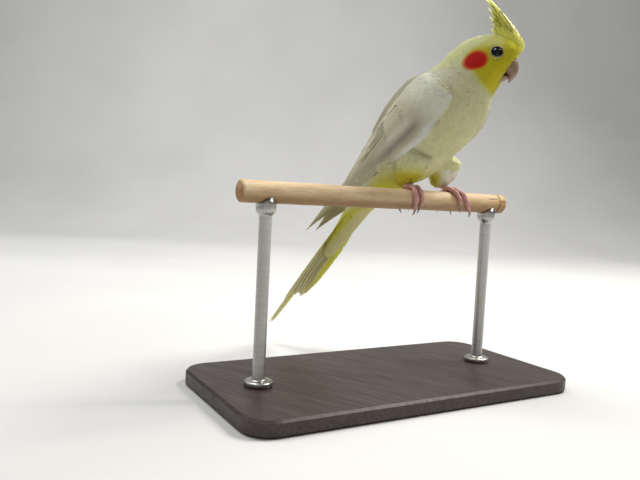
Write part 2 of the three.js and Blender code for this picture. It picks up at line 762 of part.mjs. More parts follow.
// wings, cut clear of the body, the legs and each other
for (const [side, s] of [["right", -1], ["left", 1]]) {
  let w = solid(turned(wingBlank(s)));
  w = w.subtract(wholeCut);
  const inner = s > 0 ? box([-200, -100, -100], [100, 0.2, 200]) : box([-200, -0.2, -100], [100, 100, 200]);
  w = w.subtract(solid(inner));
  w = w.subtract(solid(grown(thigh(side), GAP)));
  add(bird, "wing_" + side, geometryOf(biggest(w)), "plumage");
}

// ---------------------------------------------------------------- perch and stand
// the dowel: turned slightly uneven, with a worn, chamfered end
const dowel = [];
const half = (PERCH_TO - PERCH_FROM) / 2;
dowel.push(new THREE.Vector2(0, -half));
dowel.push(new THREE.Vector2(PERCH_R - 0.9, -half));
dowel.push(new THREE.Vector2(PERCH_R - 0.1, -half + 0.9));
dowel.push(new THREE.Vector2(PERCH_R, -half + 3));
dowel.push(new THREE.Vector2(PERCH_R - 0.1, half - 2.6));
dowel.push(new THREE.Vector2(PERCH_R - 1.1, half - 0.8));
dowel.push(new THREE.Vector2(PERCH_R - 2.4, half));
dowel.push(new THREE.Vector2(0, half));
const perch = new THREE.LatheGeometry(dowel, 22);
add(bird, "perch", geometryOf(solid(perch)), "wood");
const perchMesh = bird.children[bird.children.length - 1];
perchMesh.rotation.z = (PERCH_TURN - 90) * deg;
perchMesh.position.copy(
  PERCH_DIR.clone().multiplyScalar((PERCH_FROM + PERCH_TO) / 2),
);

// base: a plate with round corners and a small bevel, in line with the perch
const r = 16;
const L = BASE_LENGTH / 2 - 1.5;
const W = BASE_WIDTH / 2 - 1.5;
const outline = new THREE.Shape();
outline.moveTo(-W + r, -L);
outline.lineTo(W - r, -L);
outline.absarc(W - r, -L + r, r, -Math.PI / 2, 0, false);
outline.lineTo(W, L - r);
outline.absarc(W - r, L - r, r, 0, Math.PI / 2, false);
outline.lineTo(-W + r, L);
outline.absarc(-W + r, L - r, r, Math.PI / 2, Math.PI, false);
outline.lineTo(-W, -L + r);
outline.absarc(-W + r, -L + r, r, Math.PI, 1.5 * Math.PI, false);
const plate = new THREE.ExtrudeGeometry(outline, {
  depth: BASE_THICK - 3,
  bevelEnabled: true,
  bevelThickness: 1.5,
  bevelSize: 1.5,
  bevelSegments: 1,
  curveSegments: 4,
});
plate.translate(0, 0, 1.5);
const base = add(stand, "stand_base", geometryOf(solid(plate)), "base");
base.rotation.z = (PERCH_TURN - 90) * deg;
base.position.copy(PERCH_DIR.clone().multiplyScalar(BASE_CENTRE));

// two rods, each with a foot on the base and a saddle under the perch
const rodProfile = [
  [0, 0],
  [9, 0],
  [9, 2.2],
  [8.2, 3],
  [ROD_R + 0.6, 3.6],
  [ROD_R, 5],
  [ROD_R, PERCH_HEIGHT - BASE_THICK - 15],
  [6.2, PERCH_HEIGHT - BASE_THICK - 12.4],
  [6.6, PERCH_HEIGHT - BASE_THICK - 3.2],
  [0, PERCH_HEIGHT - BASE_THICK - 3.2],
].map(([x, y]) => new THREE.Vector2(x, y));
const cradle = (at) => {
  const g = new THREE.LatheGeometry(rodProfile, 12);
  g.rotateX(Math.PI / 2);
  const p = PERCH_DIR.clone().multiplyScalar(at);
  g.translate(p.x, p.y, BASE_THICK + GAP - PERCH_HEIGHT);
  return solid(g);
};
ROD_AT.forEach((at, i) => {
  const rod = biggest(cradle(at).subtract(perchCut));
  const g = geometryOf(rod);
  g.translate(0, 0, PERCH_HEIGHT);
  add(stand, "stand_rod_" + (i + 1), g, "rod");
});

export default model;
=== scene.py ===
import math
import bpy
import numpy as np
from mathutils import Matrix, Vector
from mathutils.bvhtree import BVHTree
from mathutils.kdtree import KDTree


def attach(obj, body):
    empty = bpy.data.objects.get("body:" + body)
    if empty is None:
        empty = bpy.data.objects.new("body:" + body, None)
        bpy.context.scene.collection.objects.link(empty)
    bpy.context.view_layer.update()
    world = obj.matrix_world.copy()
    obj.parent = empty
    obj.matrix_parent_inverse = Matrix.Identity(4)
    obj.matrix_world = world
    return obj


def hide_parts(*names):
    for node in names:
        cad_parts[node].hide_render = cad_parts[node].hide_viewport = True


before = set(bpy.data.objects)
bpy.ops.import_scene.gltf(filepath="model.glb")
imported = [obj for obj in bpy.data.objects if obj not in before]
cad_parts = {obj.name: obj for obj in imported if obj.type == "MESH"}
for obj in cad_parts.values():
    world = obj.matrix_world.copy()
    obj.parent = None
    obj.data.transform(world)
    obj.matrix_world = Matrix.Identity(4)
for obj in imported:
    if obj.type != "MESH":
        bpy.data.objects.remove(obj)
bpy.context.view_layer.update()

rng = np.random.default_rng(11)
LIFT = np.array([0.0, 0.0, 130.0])
scene = bpy.context.scene


def smooth(t):
    c = np.clip(t, 0, 1)
    return c * c * (3 - 2 * c)


def lerp(a, b, t):
    return a + (b - a) * t


def unit(v):
    return v / np.maximum(np.linalg.norm(v, axis=-1, keepdims=True), 1e-9)


def rows(table, t):
    T = np.asarray(table, float)
    n = len(T) - 1
    t = np.clip(np.asarray(t, float), 0, n - 1e-9)
    i = np.floor(t).astype(int)
    f = (t - i)[..., None]
    a, b, d, e = (T[np.clip(i + k, 0, n)] for k in (-1, 0, 1, 2))
    return 0.5 * (2 * b + (d - a) * f + (2 * a - 5 * b + 4 * d - e) * f**2 + (3 * b - a - 3 * d + e) * f**3)


def lin(r, g, b):
    c = np.array([r, g, b]) / 255
    return np.where(c <= 0.04045, c / 12.92, ((c + 0.055) / 1.055) ** 2.4)


def mix(a, b, t):
    t = np.asarray(t)[..., None]
    return a * (1 - t) + b * t


# ---------------------------------------------------------------- shapes shared with the solids
BODY = [
    [50.2, 98.4, 39.8, 81.6, 5.6, 0.0], [52.4, 101.4, 39.4, 79.4, 8.6, -0.04], [52.2, 105.4, 38.6, 77.2, 10.9, -0.06],
    [49.2, 108.8, 37.6, 75.4, 12.5, -0.08], [44.6, 111.2, 36.8, 73.7, 13.6, -0.09], [38.0, 112.4, 35.9, 71.9, 14.5, -0.1],
    [30.8, 112.8, 35.2, 69.6, 15.2, -0.1], [22.4, 111.4, 34.9, 66.6, 15.6, -0.09], [14.2, 107.9, 34.6, 63.0, 15.9, -0.08],
    [6.4, 101.9, 33.8, 59.2, 16.9, -0.06], [-0.8, 95.4, 32.4, 55.2, 18.9, -0.03], [-8.0, 89.2, 30.4, 51.0, 21.2, 0.0],
    [-15.6, 82.2, 27.2, 46.6, 23.0, 0.02], [-23.8, 73.8, 22.8, 41.8, 23.9, 0.03], [-31.8, 64.4, 16.8, 36.6, 24.1, 0.04],
    [-39.2, 54.2, 9.0, 29.8, 23.6, 0.05], [-46.0, 43.6, -0.2, 21.8, 22.2, 0.04], [-53.0, 32.8, -10.4, 14.4, 19.8, 0.04],
    [-59.4, 22.0, -21.8, 9.8, 16.9, 0.06], [-64.6, 11.6, -33.6, 4.2, 14.4, 0.06], [-68.6, 1.6, -45.4, -3.2, 12.8, 0.04],
    [-72.8, -8.2, -56.6, -12.6, 11.8, 0.0], [-78.4, -18.2, -67.2, -24.0, 11.0, 0.0], [-84.8, -28.2, -77.2, -36.0, 9.8, 0.0],
    [-91.2, -38.0, -87.0, -47.6, 7.8, 0.0],
]
TURN = math.radians(20)
PERCH_R, GAP = 7.0, 0.3
PD = np.array([math.cos(math.radians(67)), math.sin(math.radians(67)), 0.0])
PF = np.array([math.sin(math.radians(67)), -math.cos(math.radians(67)), 0.0])
Z = np.array([0.0, 0.0, 1.0])


def body_point(t, a, grow=0.0):
    t, a = np.broadcast_arrays(np.asarray(t, float), np.asarray(a, float))
    tx, tz, bx, bz, w, sk = np.moveaxis(rows(BODY, t), -1, 0)
    half = np.hypot(tx - bx, tz - bz) / 2
    ux, uz = (tx - bx) / (2 * half), (tz - bz) / (2 * half)
    c, s = np.cos(a), np.sin(a)
    return np.stack(
        [(tx + bx) / 2 + ux * (half + grow) * c, (w + grow) * s * (1 + sk * c), (tz + bz) / 2 + uz * (half + grow) * c], -1
    )


def turn_angle(x, z):
    return TURN * smooth((0.75 * (x - 10) + 0.66 * (z - 80)) / 22)


def turn(p):
    p = np.asarray(p, float)
    x, y, z = np.moveaxis(p, -1, 0)
    a = turn_angle(x, z)
    return np.stack([16 + (x - 16) * np.cos(a) - y * np.sin(a), (x - 16) * np.sin(a) + y * np.cos(a), z + 1.2], -1)


def unturn(p):
    x, y, z = np.moveaxis(np.asarray(p, float), -1, 0)
    z = z - 1.2
    gx = x.copy()
    for _ in range(5):
        a = turn_angle(gx, z)
        gx = 16 + (x - 16) * np.cos(a) + y * np.sin(a)
        gy = -(x - 16) * np.sin(a) + y * np.cos(a)
    return np.stack([gx, gy, z], -1)


# ---------------------------------------------------------------- meshes from arrays
def put(v):
    return (np.asarray(v, float) + LIFT) * 0.001


def new_mesh(name, V, faces, mat, col=None, uvs=None, flat=False, normals=None):
    """faces is a list of (n, k) index arrays; col is per vertex; uvs is {name: per-vertex uv}."""
    me = bpy.data.meshes.new(name)
    V = put(V)
    me.vertices.add(len(V))
    me.vertices.foreach_set("co", V.ravel())
    loops = np.concatenate([f.ravel() for f in faces]).astype(np.int32)
    sizes = np.concatenate([np.full(len(f), f.shape[1]) for f in faces])
    me.loops.add(len(loops))
    me.loops.foreach_set("vertex_index", loops)
    me.polygons.add(len(sizes))
    starts = np.concatenate([[0], np.cumsum(sizes)[:-1]]).astype(np.int32)
    me.polygons.foreach_set("loop_start", starts)
    if not flat:
        me.polygons.foreach_set("use_smooth", np.ones(len(sizes), bool))
    me.update(calc_edges=True)
    if col is not None:
        at = me.color_attributes.new("Col", "FLOAT_COLOR", "POINT")
        c = np.concatenate([np.clip(col, 0, 1), np.ones((len(V), 1))], 1)
        at.data.foreach_set("color", c.astype(np.float32).ravel())
    for key, uv in (uvs or {}).items():
        layer = me.uv_layers.new(name=key)
        layer.data.foreach_set("uv", np.asarray(uv, np.float32)[loops].ravel())
    ob = bpy.data.objects.new(name, me)
    scene.collection.objects.link(ob)
    me.materials.append(mat)
    if normals is not None:
        face = np.empty(len(sizes) * 3)
        me.polygons.foreach_get("normal", face)
        face = np.repeat(face.reshape(-1, 3), sizes, axis=0)
        soft = normals[loops]
        soft = soft * np.where((face * soft).sum(1, keepdims=True) < -0.45, -1.0, 1.0)
        me.normals_split_custom_set(unit(face * 0.25 + soft).tolist())
    return ob


def grid_faces(n, m, wrap=True, at=0):
    """Quads of a grid of n rings of m points."""
    idx = np.arange(n * m).reshape(n, m) + at
    nxt = np.roll(idx, -1, 1)
    if not wrap:
        idx, nxt = idx[:, :-1], nxt[:, :-1]
    return np.stack([idx[:-1], idx[1:], nxt[1:], nxt[:-1]], -1).reshape(-1, 4)


def volume_of(V, quads):
    a, b, c, d = (V[quads[:, k]] for k in range(4))
    return float(np.sum(np.cross(a, b) * c) + np.sum(np.cross(a, c) * d))


def lathe_tube(name, P, mat, col=None, uvs=None, extra=None):
    """A closed tube from rings P (n, m, 3), its ends closed by faces."""
    n, m, _ = P.shape
    V = P.reshape(-1, 3)
    q = grid_faces(n, m)
    caps = [np.arange(m)[None], (np.arange(m) + (n - 1) * m)[::-1][None]]
    if volume_of(V, q) < 0:
        q, caps = q[:, ::-1], [c[:, ::-1] for c in caps]
    return new_mesh(name, V, [q, *caps], mat, col, uvs)


def weave(name, P, col, bake, vane, mat, limit=190000, normals=None):
    """Closed feathers from P (feathers, stations, ring, 3). Splits into pieces under the limit of triangles."""
    N, K, R, _ = P.shape
    idx = np.arange(K * R).reshape(K, R)
    nxt = np.roll(idx, -1, 1)
    q = np.stack([idx[:-1], idx[1:], nxt[1:], nxt[:-1]], -1).reshape(-1, 4)
    F = P.reshape(N, K * R, 3)
    mid = F.mean(1, keepdims=True)
    G = F - mid
    a, b, c, d = (G[:, q[:, k]] for k in range(4))
    vol = (np.cross(a, b) * c).sum((1, 2)) + (np.cross(a, c) * d).sum((1, 2))
    flip = vol < 0
    tris = (K - 1) * R * 2 + 2 * (R - 2)
    per = max(1, limit // tris)
    made = []
    for part, i in enumerate(range(0, N, per)):
        n = min(per, N - i)
        base = (np.arange(n) * K * R)[:, None, None]
        qq = np.where(flip[i : i + n, None, None], q[None, :, ::-1], q[None]) + base
        j = np.arange(R - 2)
        fan = np.stack([np.full(R - 2, R - 1), j, j + 1], -1)
        f0, f1 = idx[0][fan][None], idx[-1][fan[:, ::-1]][None]
        back = flip[i : i + n, None, None]
        c0 = (np.where(back, f0[..., ::-1], f0) + base).reshape(-1, 3)
        c1 = (np.where(back, f1[..., ::-1], f1) + base).reshape(-1, 3)
        sel = slice(i, i + n)
        ob = new_mesh(
            name if N <= per else f"{name}_{part + 1}", F[sel].reshape(-1, 3), [qq.reshape(-1, 4), c0, c1], mat,
            col[sel].reshape(-1, 3), {"OFBake": bake[sel].reshape(-1, 2), "Vane": vane[sel].reshape(-1, 2)},
            normals=None if normals is None else normals[sel].reshape(-1, 3),
        )
        made.append(ob)
    return made


# ---------------------------------------------------------------- materials
def nodes_of(name):
    mat = bpy.data.materials.new(name)
    mat.use_nodes = True
    nt = mat.node_tree
    return mat, nt, nt.nodes["Principled BSDF"]


def node(nt, kind, **values):
    n = nt.nodes.new(kind)
    for k, v in values.items():
        if hasattr(n, k):
            setattr(n, k, v)
        else:
            n.inputs[k].default_value = v
    return n


def sums(nt, op, a, b=None, c=None):
    n = nt.nodes.new("ShaderNodeMath")
    n.operation = op
    for i, v in enumerate((a, b, c)):
        if v is None:
            continue
        if isinstance(v, (int, float)):
            n.inputs[i].default_value = v
        else:
            nt.links.new(v, n.inputs[i])
    return n.outputs[0]


def ramp(nt, fac, stops):
    n = nt.nodes.new("ShaderNodeValToRGB")
    els = n.color_ramp.elements
    while len(els) < len(stops):
        els.new(0.5)
    for e, (pos, c) in zip(els, stops):
        e.position = pos
        e.color = (*c, 1)
    nt.links.new(fac, n.inputs[0])
    return n.outputs[0]


def blend(nt, kind, fac, a, b):
    n = nt.nodes.new("ShaderNodeMix")
    n.data_type = "RGBA"
    n.blend_type = kind
    for sock, v in ((n.inputs[0], fac), (n.inputs[6], a), (n.inputs[7], b)):
        if isinstance(v, (int, float)):
            sock.default_value = v
        elif isinstance(v, (tuple, list, np.ndarray)):
            sock.default_value = (*v, 1)
        else:
            nt.links.new(v, sock)
    return n.outputs[2]


def noise(nt, vec, scale, detail=3.0, rough=0.55):
    n = nt.nodes.new("ShaderNodeTexNoise")
    n.inputs["Scale"].default_value = scale
    n.inputs["Detail"].default_value = detail
    n.inputs["Roughness"].default_value = rough
    if vec is not None:
        nt.links.new(vec, n.inputs["Vector"])
    return n.outputs["Fac"]


def bump(nt, bsdf, height, distance, strength=1.0, before=None):
    n = nt.nodes.new("ShaderNodeBump")
    n.inputs["Strength"].default_value = strength
    n.inputs["Distance"].default_value = distance
    nt.links.new(height, n.inputs["Height"])
    if before is not None:
        nt.links.new(before, n.inputs["Normal"])
    nt.links.new(n.outputs[0], bsdf.inputs["Normal"])
    return n.outputs[0]


def object_coords(nt):
    return nt.nodes.new("ShaderNodeTexCoord").outputs["Object"]


def feather_material(name, barb=0.55, rough=0.78, sss=0.12, deep=0.10):
    mat, nt, b = nodes_of(name)
    at = node(nt, "ShaderNodeAttribute", attribute_name="Col")
    uv = nt.nodes.new("ShaderNodeUVMap")
    uv.uv_map = "Vane"
    sep = nt.nodes.new("ShaderNodeSeparateXYZ")
    nt.links.new(uv.outputs[0], sep.inputs[0])
    u = sums(nt, "ABSOLUTE", sep.outputs[0])
    phase = sums(nt, "SUBTRACT", sep.outputs[1], sums(nt, "MULTIPLY", u, 1.25))
    wob = noise(nt, object_coords(nt), 260.0, 2.0)
    phase = sums(nt, "ADD", sums(nt, "MULTIPLY", phase, 2 * math.pi / barb), sums(nt, "MULTIPLY", wob, 5.0))
    wave = sums(nt, "MULTIPLY_ADD", sums(nt, "SINE", phase), 0.5, 0.5)
    fine = noise(nt, object_coords(nt), 900.0, 3.0)
    broad = noise(nt, object_coords(nt), 60.0, 2.0)
    tint = ramp(nt, wave, [(0.0, (1 - deep,) * 3), (0.6, (1.0, 1.0, 1.0))])
    c = blend(nt, "MULTIPLY", 0.8, at.outputs["Color"], tint)
    c = blend(nt, "MULTIPLY", 0.5, c, ramp(nt, fine, [(0.3, (0.86, 0.86, 0.84)), (0.65, (1.0, 1.0, 1.0))]))
    c = blend(nt, "MULTIPLY", 0.45, c, ramp(nt, broad, [(0.35, (0.9, 0.895, 0.86)), (0.7, (1.0, 1.0, 1.0))]))
    nt.links.new(c, b.inputs["Base Color"])
    b.inputs["Roughness"].default_value = rough
    b.inputs["Specular IOR Level"].default_value = 0.25
    b.inputs["Sheen Weight"].default_value = 0.08
    b.inputs["Sheen Roughness"].default_value = 0.5
    b.inputs["Subsurface Weight"].default_value = sss
    b.inputs["Subsurface Radius"].default_value = (0.0016, 0.0014, 0.0008)
    b.inputs["Subsurface Scale"].default_value = 1.0
    bump(nt, b, sums(nt, "ADD", sums(nt, "MULTIPLY", wave, 0.6), sums(nt, "MULTIPLY", fine, 0.5)), 0.00006, 0.8)
    return mat


def skin_material():
    mat, nt, b = nodes_of("bird_skin")
    at = node(nt, "ShaderNodeAttribute", attribute_name="Col")
    fine = noise(nt, object_coords(nt), 700.0, 4.0)
    c = blend(nt, "MULTIPLY", 0.6, at.outputs["Color"], ramp(nt, fine, [(0.3, (0.8, 0.79, 0.75)), (0.7, (1.0, 1.0, 1.0))]))
    nt.links.new(c, b.inputs["Base Color"])
    b.inputs["Roughness"].default_value = 0.8
    b.inputs["Specular IOR Level"].default_value = 0.25
    b.inputs["Subsurface Weight"].default_value = 0.12
    b.inputs["Subsurface Radius"].default_value = (0.0016, 0.0012, 0.0008)
    b.inputs["Subsurface Scale"].default_value = 1.0
    bump(nt, b, fine, 0.0002, 0.6)
    return mat


DOWN_MAT = feather_material("contour_feathers")
FLIGHT_MAT = feather_material("flight_feathers", barb=0.7, rough=0.62, sss=0.06, deep=0.16)
CREST_MAT = feather_material("crest_feathers", barb=0.6, rough=0.7, sss=0.55, deep=0.12)
CREST_MAT.node_tree.nodes["Principled BSDF"].inputs["Subsurface Radius"].default_value = (0.005, 0.005, 0.0022)
SKIN_MAT = skin_material()

# ---------------------------------------------------------------- the markings
CREAM = lin(224, 221, 170)
WHITE = lin(226, 225, 198)
NAPE = lin(226, 228, 162)
YELLOW = lin(210, 196, 28)
PALE_YELLOW = lin(220, 217, 108)
LEMON = lin(255, 250, 62)
VENT = lin(220, 212, 72)
CHEEK = lin(206, 14, 3)
CHEEK_EDGE = lin(224, 112, 22)
LID = lin(206, 210, 200)
# painted light: the lighter, bluer tone where the shoulder catches the light
WING_GREY = lin(200, 194, 164)
LIT_SHOULDER = lin(234, 236, 212)
TIP_GREY = lin(184, 174, 134)
FACE_BACK = np.array([[60, 43], [66, 40], [73, 34], [76, 31], [80, 28], [85, 24], [88, 21.5], [92, 18.5], [97, 18], [101, 20], [105, 26], [110, 32], [116, 36], [130, 30]], float)


def markings(p):
    """Colour of the plumage at p, in the frame where the head looks straight ahead."""
    x, y, z = np.moveaxis(p, -1, 0)
    v = (x - 16) * -0.751 + (z - 68) * 0.66
    c = np.broadcast_to(CREAM, p.shape).copy()
    c = mix(c, WHITE, smooth((v + 4) / 26) * (1 - smooth((z - 84) / 12)))
    c = mix(c, NAPE, smooth((z - 84) / 12))
    yel = smooth((x - np.interp(z, FACE_BACK[:, 0], FACE_BACK[:, 1]) + 2.2) / 6.5)
    yel = yel * (1 - 0.62 * smooth((z - 98) / 7) * (1 - smooth((x - 38) / 8)))
    c = mix(c, PALE_YELLOW, smooth(yel * 2))
    c = mix(c, YELLOW, smooth(yel * 1.6 - 0.6))
    c = mix(c, LEMON, smooth((x - 42) / 6) * smooth((z - 99) / 6))
    # the ear patch
    dx, dz = x - 24.9, z - 92.9
    a, b = dx * 0.86 + dz * 0.51, -dx * 0.51 + dz * 0.86
    e = np.hypot(a / 7.5, b / 6.4) + 0.03 * np.sin(2 * np.arctan2(b, a) + 0.8) + 0.02 * np.sin(3 * np.arctan2(b, a))
    on = np.abs(y) > 6
    c = mix(c, CHEEK_EDGE, on * smooth((1.16 - e) / 0.2) * 0.85)
    c = mix(c, CHEEK, on * smooth((1.0 - e) / 0.22))
    # vent, flanks and under the tail
    low = smooth((24 - z) / 16) * smooth((13 - v) / 12) * (1 - smooth((x - 8) / 10))
    c = mix(c, VENT, low)
    under = smooth((-4 - z) / 12)
    c = mix(c, mix(np.broadcast_to(lin(226, 218, 160), p.shape), lin(224, 218, 60), 0.15 + 0.7 * smooth((np.abs(y) - 7.5) / 3)), under)
    return c


# ---------------------------------------------------------------- surfaces the feathers lie on
class Surface:
    def __init__(self, V, quads):
        tri = np.concatenate([quads[:, [0, 1, 2]], quads[:, [0, 2, 3]]])
        a, b, c = V[tri[:, 0]], V[tri[:, 1]], V[tri[:, 2]]
        fn = np.cross(b - a, c - a)
        if (np.cross(a, b) * c).sum() < 0:
            fn = -fn
        vn = np.zeros_like(V)
        for k in range(3):
            np.add.at(vn, tri[:, k], fn)
        self.V, self.tri, self.vn = V, tri, unit(vn)
        self.tree = BVHTree.FromPolygons(V.tolist(), tri.tolist())

    def at(self, q):
        shape = q.shape
        q = q.reshape(-1, 3)
        loc = np.empty((len(q), 3))
        ix = np.empty(len(q), int)
        find = self.tree.find_nearest
        for i, p in enumerate(q.tolist()):
            l, _, k, _ = find(p)
            loc[i] = l
            ix[i] = k
        t = self.tri[ix]
        a, b, c = self.V[t[:, 0]], self.V[t[:, 1]], self.V[t[:, 2]]
        v0, v1, v2 = b - a, c - a, loc - a
        d00, d01, d11 = (v0 * v0).sum(1), (v0 * v1).sum(1), (v1 * v1).sum(1)
        d20, d21 = (v2 * v0).sum(1), (v2 * v1).sum(1)
        den = np.maximum(d00 * d11 - d01 * d01, 1e-12)
        v = np.clip((d11 * d20 - d01 * d21) / den, 0, 1)
        w = np.clip((d00 * d21 - d01 * d20) / den, 0, 1)
        u = np.clip(1 - v - w, 0, 1)
        n = unit(u[:, None] * self.vn[t[:, 0]] + v[:, None] * self.vn[t[:, 1]] + w[:, None] * self.vn[t[:, 2]])
        return loc.reshape(shape), n.reshape(shape)


def body_mesh(per=6, around=96, grow=None):
    t = np.linspace(0, 24, 24 * per + 1)
    a = np.linspace(0, 2 * np.pi, around, endpoint=False)
    tt, aa = np.meshgrid(t, a, indexing="ij")
    P = body_point(tt, aa, 0.0 if grow is None else grow(tt, aa))
    mid = P[0].mean(0)
    face = np.array([(P[0] - mid) * math.cos(q) + mid + np.array([0.9, 0, -0.44]) * 0.8 * math.sin(q) for q in (1.35, 0.8)])
    mid = P[-1].mean(0)
    end = np.array([(P[-1] - mid) * math.cos(q) + mid + np.array([-0.615, 0, -0.789]) * 7 * math.sin(q) for q in (0.5, 1.0, 1.4)])
    return np.concatenate([face, P, end])


BM = turn(body_mesh())
body_surface = Surface(BM.reshape(-1, 3), grid_faces(BM.shape[0], BM.shape[1]))

# the wing's outer surface
WO, WA, WN = np.array([16.0, 68.0]), np.array([-0.66, -0.751]), np.array([-0.751, 0.66])
WING = np.array([
    [-4.4, 14, 1, 19.5, 21.6, 20.4, 5], [-2.6, 22, -1.6, 16, 23.6, 22.4, 6], [2.5, 30.6, -3.8, 12, 25.2, 24.6, 6.5],
    [11, 34.6, -5.4, 9.6, 26.3, 26, 6], [25, 37.2, -6.4, 6.8, 27, 26.6, 5], [38, 38.6, -5.2, 4.4, 26.9, 26, 4.4],
    [50, 38.4, -2.2, 2.6, 26, 24.4, 4], [62, 37, 1.8, 1.6, 24, 21.8, 3.6], [74, 35.8, 5.8, 1.4, 21.2, 18.6, 3.2],
    [87, 35.2, 10.2, 1.8, 18, 15.4, 2.8], [100, 34.4, 14, 2.6, 14.8, 12.6, 2.4], [113, 33.4, 17.6, 3.4, 12.2, 10.4, 2],
    [127, 32.4, 21.6, 4.4, 10, 8.8, 1.7], [140, 31.6, 25.4, 5.4, 8.6, 7.9, 1.4], [151, 31, 28.4, 6.2, 7.6, 7.3, 1.2],
    [158.5, 30.7, 30, 6.8, 7.1, 7, 1],
])
_fine = np.linspace(0, len(WING) - 1, 1500)
_tab = rows(WING, _fine)


def wing_row(s):
    return [np.interp(s, _tab[:, 0], _tab[:, k]) for k in range(1, 7)]


def wing_at(s, c, side, h=0.0):
    """Point and normal at s along the wing, c across it (0 lower edge, 1 upper edge), h above the surface."""

    def raw(s, c):
        vT, vB, yT, yM, yB, th = wing_row(s)
        u = np.clip(1 - c, 0, 1)
        y = np.where(
            u < 0.66,
            lerp(yT, yM, np.sin(np.pi / 2 * np.clip(u / 0.66, 0, 1) ** 0.86)),
            lerp(yM, yB, (np.clip(u - 0.66, 0, 1) / 0.34) ** 2),
        )
        v = vB + c * (vT - vB)
        return turn(np.stack([WO[0] + s * WA[0] + v * WN[0], side * y, WO[1] + s * WA[1] + v * WN[1]], -1))

    P = raw(s, c)
    ds = raw(s + 0.6, c) - raw(s - 0.6, c)
    c1 = np.clip(c, 0.03, 0.97)
    dc = raw(s, c1 + 0.02) - raw(s, c1 - 0.02)
    n = unit(np.cross(ds, dc))
    n = n * np.where(n[..., 1:2] * side < 0, -1.0, 1.0)
    return P + n * np.asarray(h)[..., None], n


def wing_colour(s, c):
    base = np.broadcast_to(WING_GREY, (*np.shape(s), 3)).copy()
    # painted light: the shoulder is made lighter and bluer towards the body, where the light falls on it
    base = mix(base, LIT_SHOULDER, 1 - smooth((s - 8) / 24))
    base = mix(base, lin(236, 238, 226), smooth((0.12 - c) / 0.1) * smooth((s - 14) / 10) * (1 - smooth((s - 44) / 20)))
    # painted shade: a darker band in the valley between the coverts and the feathers of the front edge
    base = mix(base, lin(152, 148, 140), np.exp(-(((c - 0.21) / 0.06) ** 2)) * smooth((s - 18) / 12) * (1 - smooth((s - 54) / 16)) * 0.8)
    base = mix(base, lin(226, 225, 204), np.exp(-(((c - 0.36) / 0.07) ** 2)) * smooth((s - 22) / 10) * (1 - smooth((s - 60) / 12)) * 0.8)
    base = mix(base, TIP_GREY, smooth((s - 90) / 50))
    return mix(base, WHITE, smooth((c - 0.75) / 0.25) * 0.5)


# the thighs
HEEL = {"right": np.array([-20.5, -14.2, 10.9]), "left": np.array([-7.6, 16.0, 12.2])}
HIP = {"right": np.array([-8, -13.5, 34.0]), "left": np.array([0.5, 13.5, 33.0])}
THIGH = [[0, 9.5, 12], [0.25, 10, 11.8], [0.5, 9.2, 10.4], [0.72, 7.4, 8.4], [0.88, 5.4, 6.4], [1.0, 3.8, 4.6], [1.06, 2.6, 3.0]]


def thigh_point(side, t, a, grow=0.0):
    k, w, d = np.moveaxis(rows(THIGH, t), -1, 0)
    hip, heel = HIP[side], HEEL[side]
    sgn = 1 if side == "left" else -1
    bow = np.sin(np.pi * np.minimum(1, k))
    p = hip + (heel - hip) * k[..., None] + np.stack([0.8 * bow, sgn * 1.2 * bow, 0 * bow], -1)
    ax = unit(heel - hip)
    fore = unit(np.array([1.0, 0, 0]) - ax * ax[0])
    lat = np.cross(ax, fore)
    return p + fore * ((d + grow) * np.cos(a))[..., None] + lat * ((w + grow) * np.sin(a))[..., None]


def joined(shells, voxel, iterations, factor=0.5, extra=None):
    """One closed mesh round all the shells, its junctions softened: a new mesh datablock, and its points."""
    V, F, at = [], [], 0
    for S in shells:
        n, m, _ = S.shape
        vv, q = S.reshape(-1, 3), grid_faces(n, m)
        caps = [np.arange(m)[None], (np.arange(m) + (n - 1) * m)[::-1][None]]
        if volume_of(vv, q) < 0:
            q, caps = q[:, ::-1], [c[:, ::-1] for c in caps]
        V.append(vv)
        F += [q + at, caps[0] + at, caps[1] + at]
        at += len(vv)
    if extra is not None:
        V.append(extra[0])
        F.append(extra[1] + at)
    blank = new_mesh("blank", np.concatenate(V), F, SKIN_MAT)
    rem = blank.modifiers.new("join", "REMESH")
    rem.mode, rem.voxel_size = "VOXEL", voxel * 0.001
    sm = blank.modifiers.new("soft", "SMOOTH")
    sm.factor, sm.iterations = factor, iterations
    me = bpy.data.meshes.new_from_object(blank.evaluated_get(bpy.context.evaluated_depsgraph_get()))
    bpy.data.objects.remove(blank)
    co = np.empty(len(me.vertices) * 3)
    me.vertices.foreach_get("co", co)
    return me, co.reshape(-1, 3) * 1000 - LIFT


def wing_shell(sg, out0, in0, s_to=96, lo=0.03, hi=0.97):
    ss = np.linspace(-4.2, s_to, 60)
    th = wing_row(ss)[5]
    outer = [wing_at(ss, np.full(60, c), sg, out0)[0] for c in np.linspace(lo, hi, 26)]
    inner = [wing_at(ss, np.full(60, c), sg, in0 - th)[0] for c in np.linspace(lo, hi, 26)]
    return np.stack(outer + inner[::-1], 1)


_t, _a = np.meshgrid(np.linspace(0, 6, 30), np.linspace(0, 2 * np.pi, 48, endpoint=False), indexing="ij")
me, co = joined([BM, *(wing_shell(g, -0.1, 0.0) for g in (1, -1)), *(thigh_point(k, _t, _a) for k in HEEL)], 1.1, 24)
_q = np.empty(len(me.loops), np.int32)
me.loops.foreach_get("vertex_index", _q)
sizes = np.empty(len(me.polygons), np.int32)
me.polygons.foreach_get("loop_total", sizes)
starts = np.empty(len(me.polygons), np.int32)
me.polygons.foreach_get("loop_start", starts)
four = starts[sizes == 4]
outline_quads = np.stack([_q[four + k] for k in range(4)], -1)
outline = Surface(co, outline_quads)


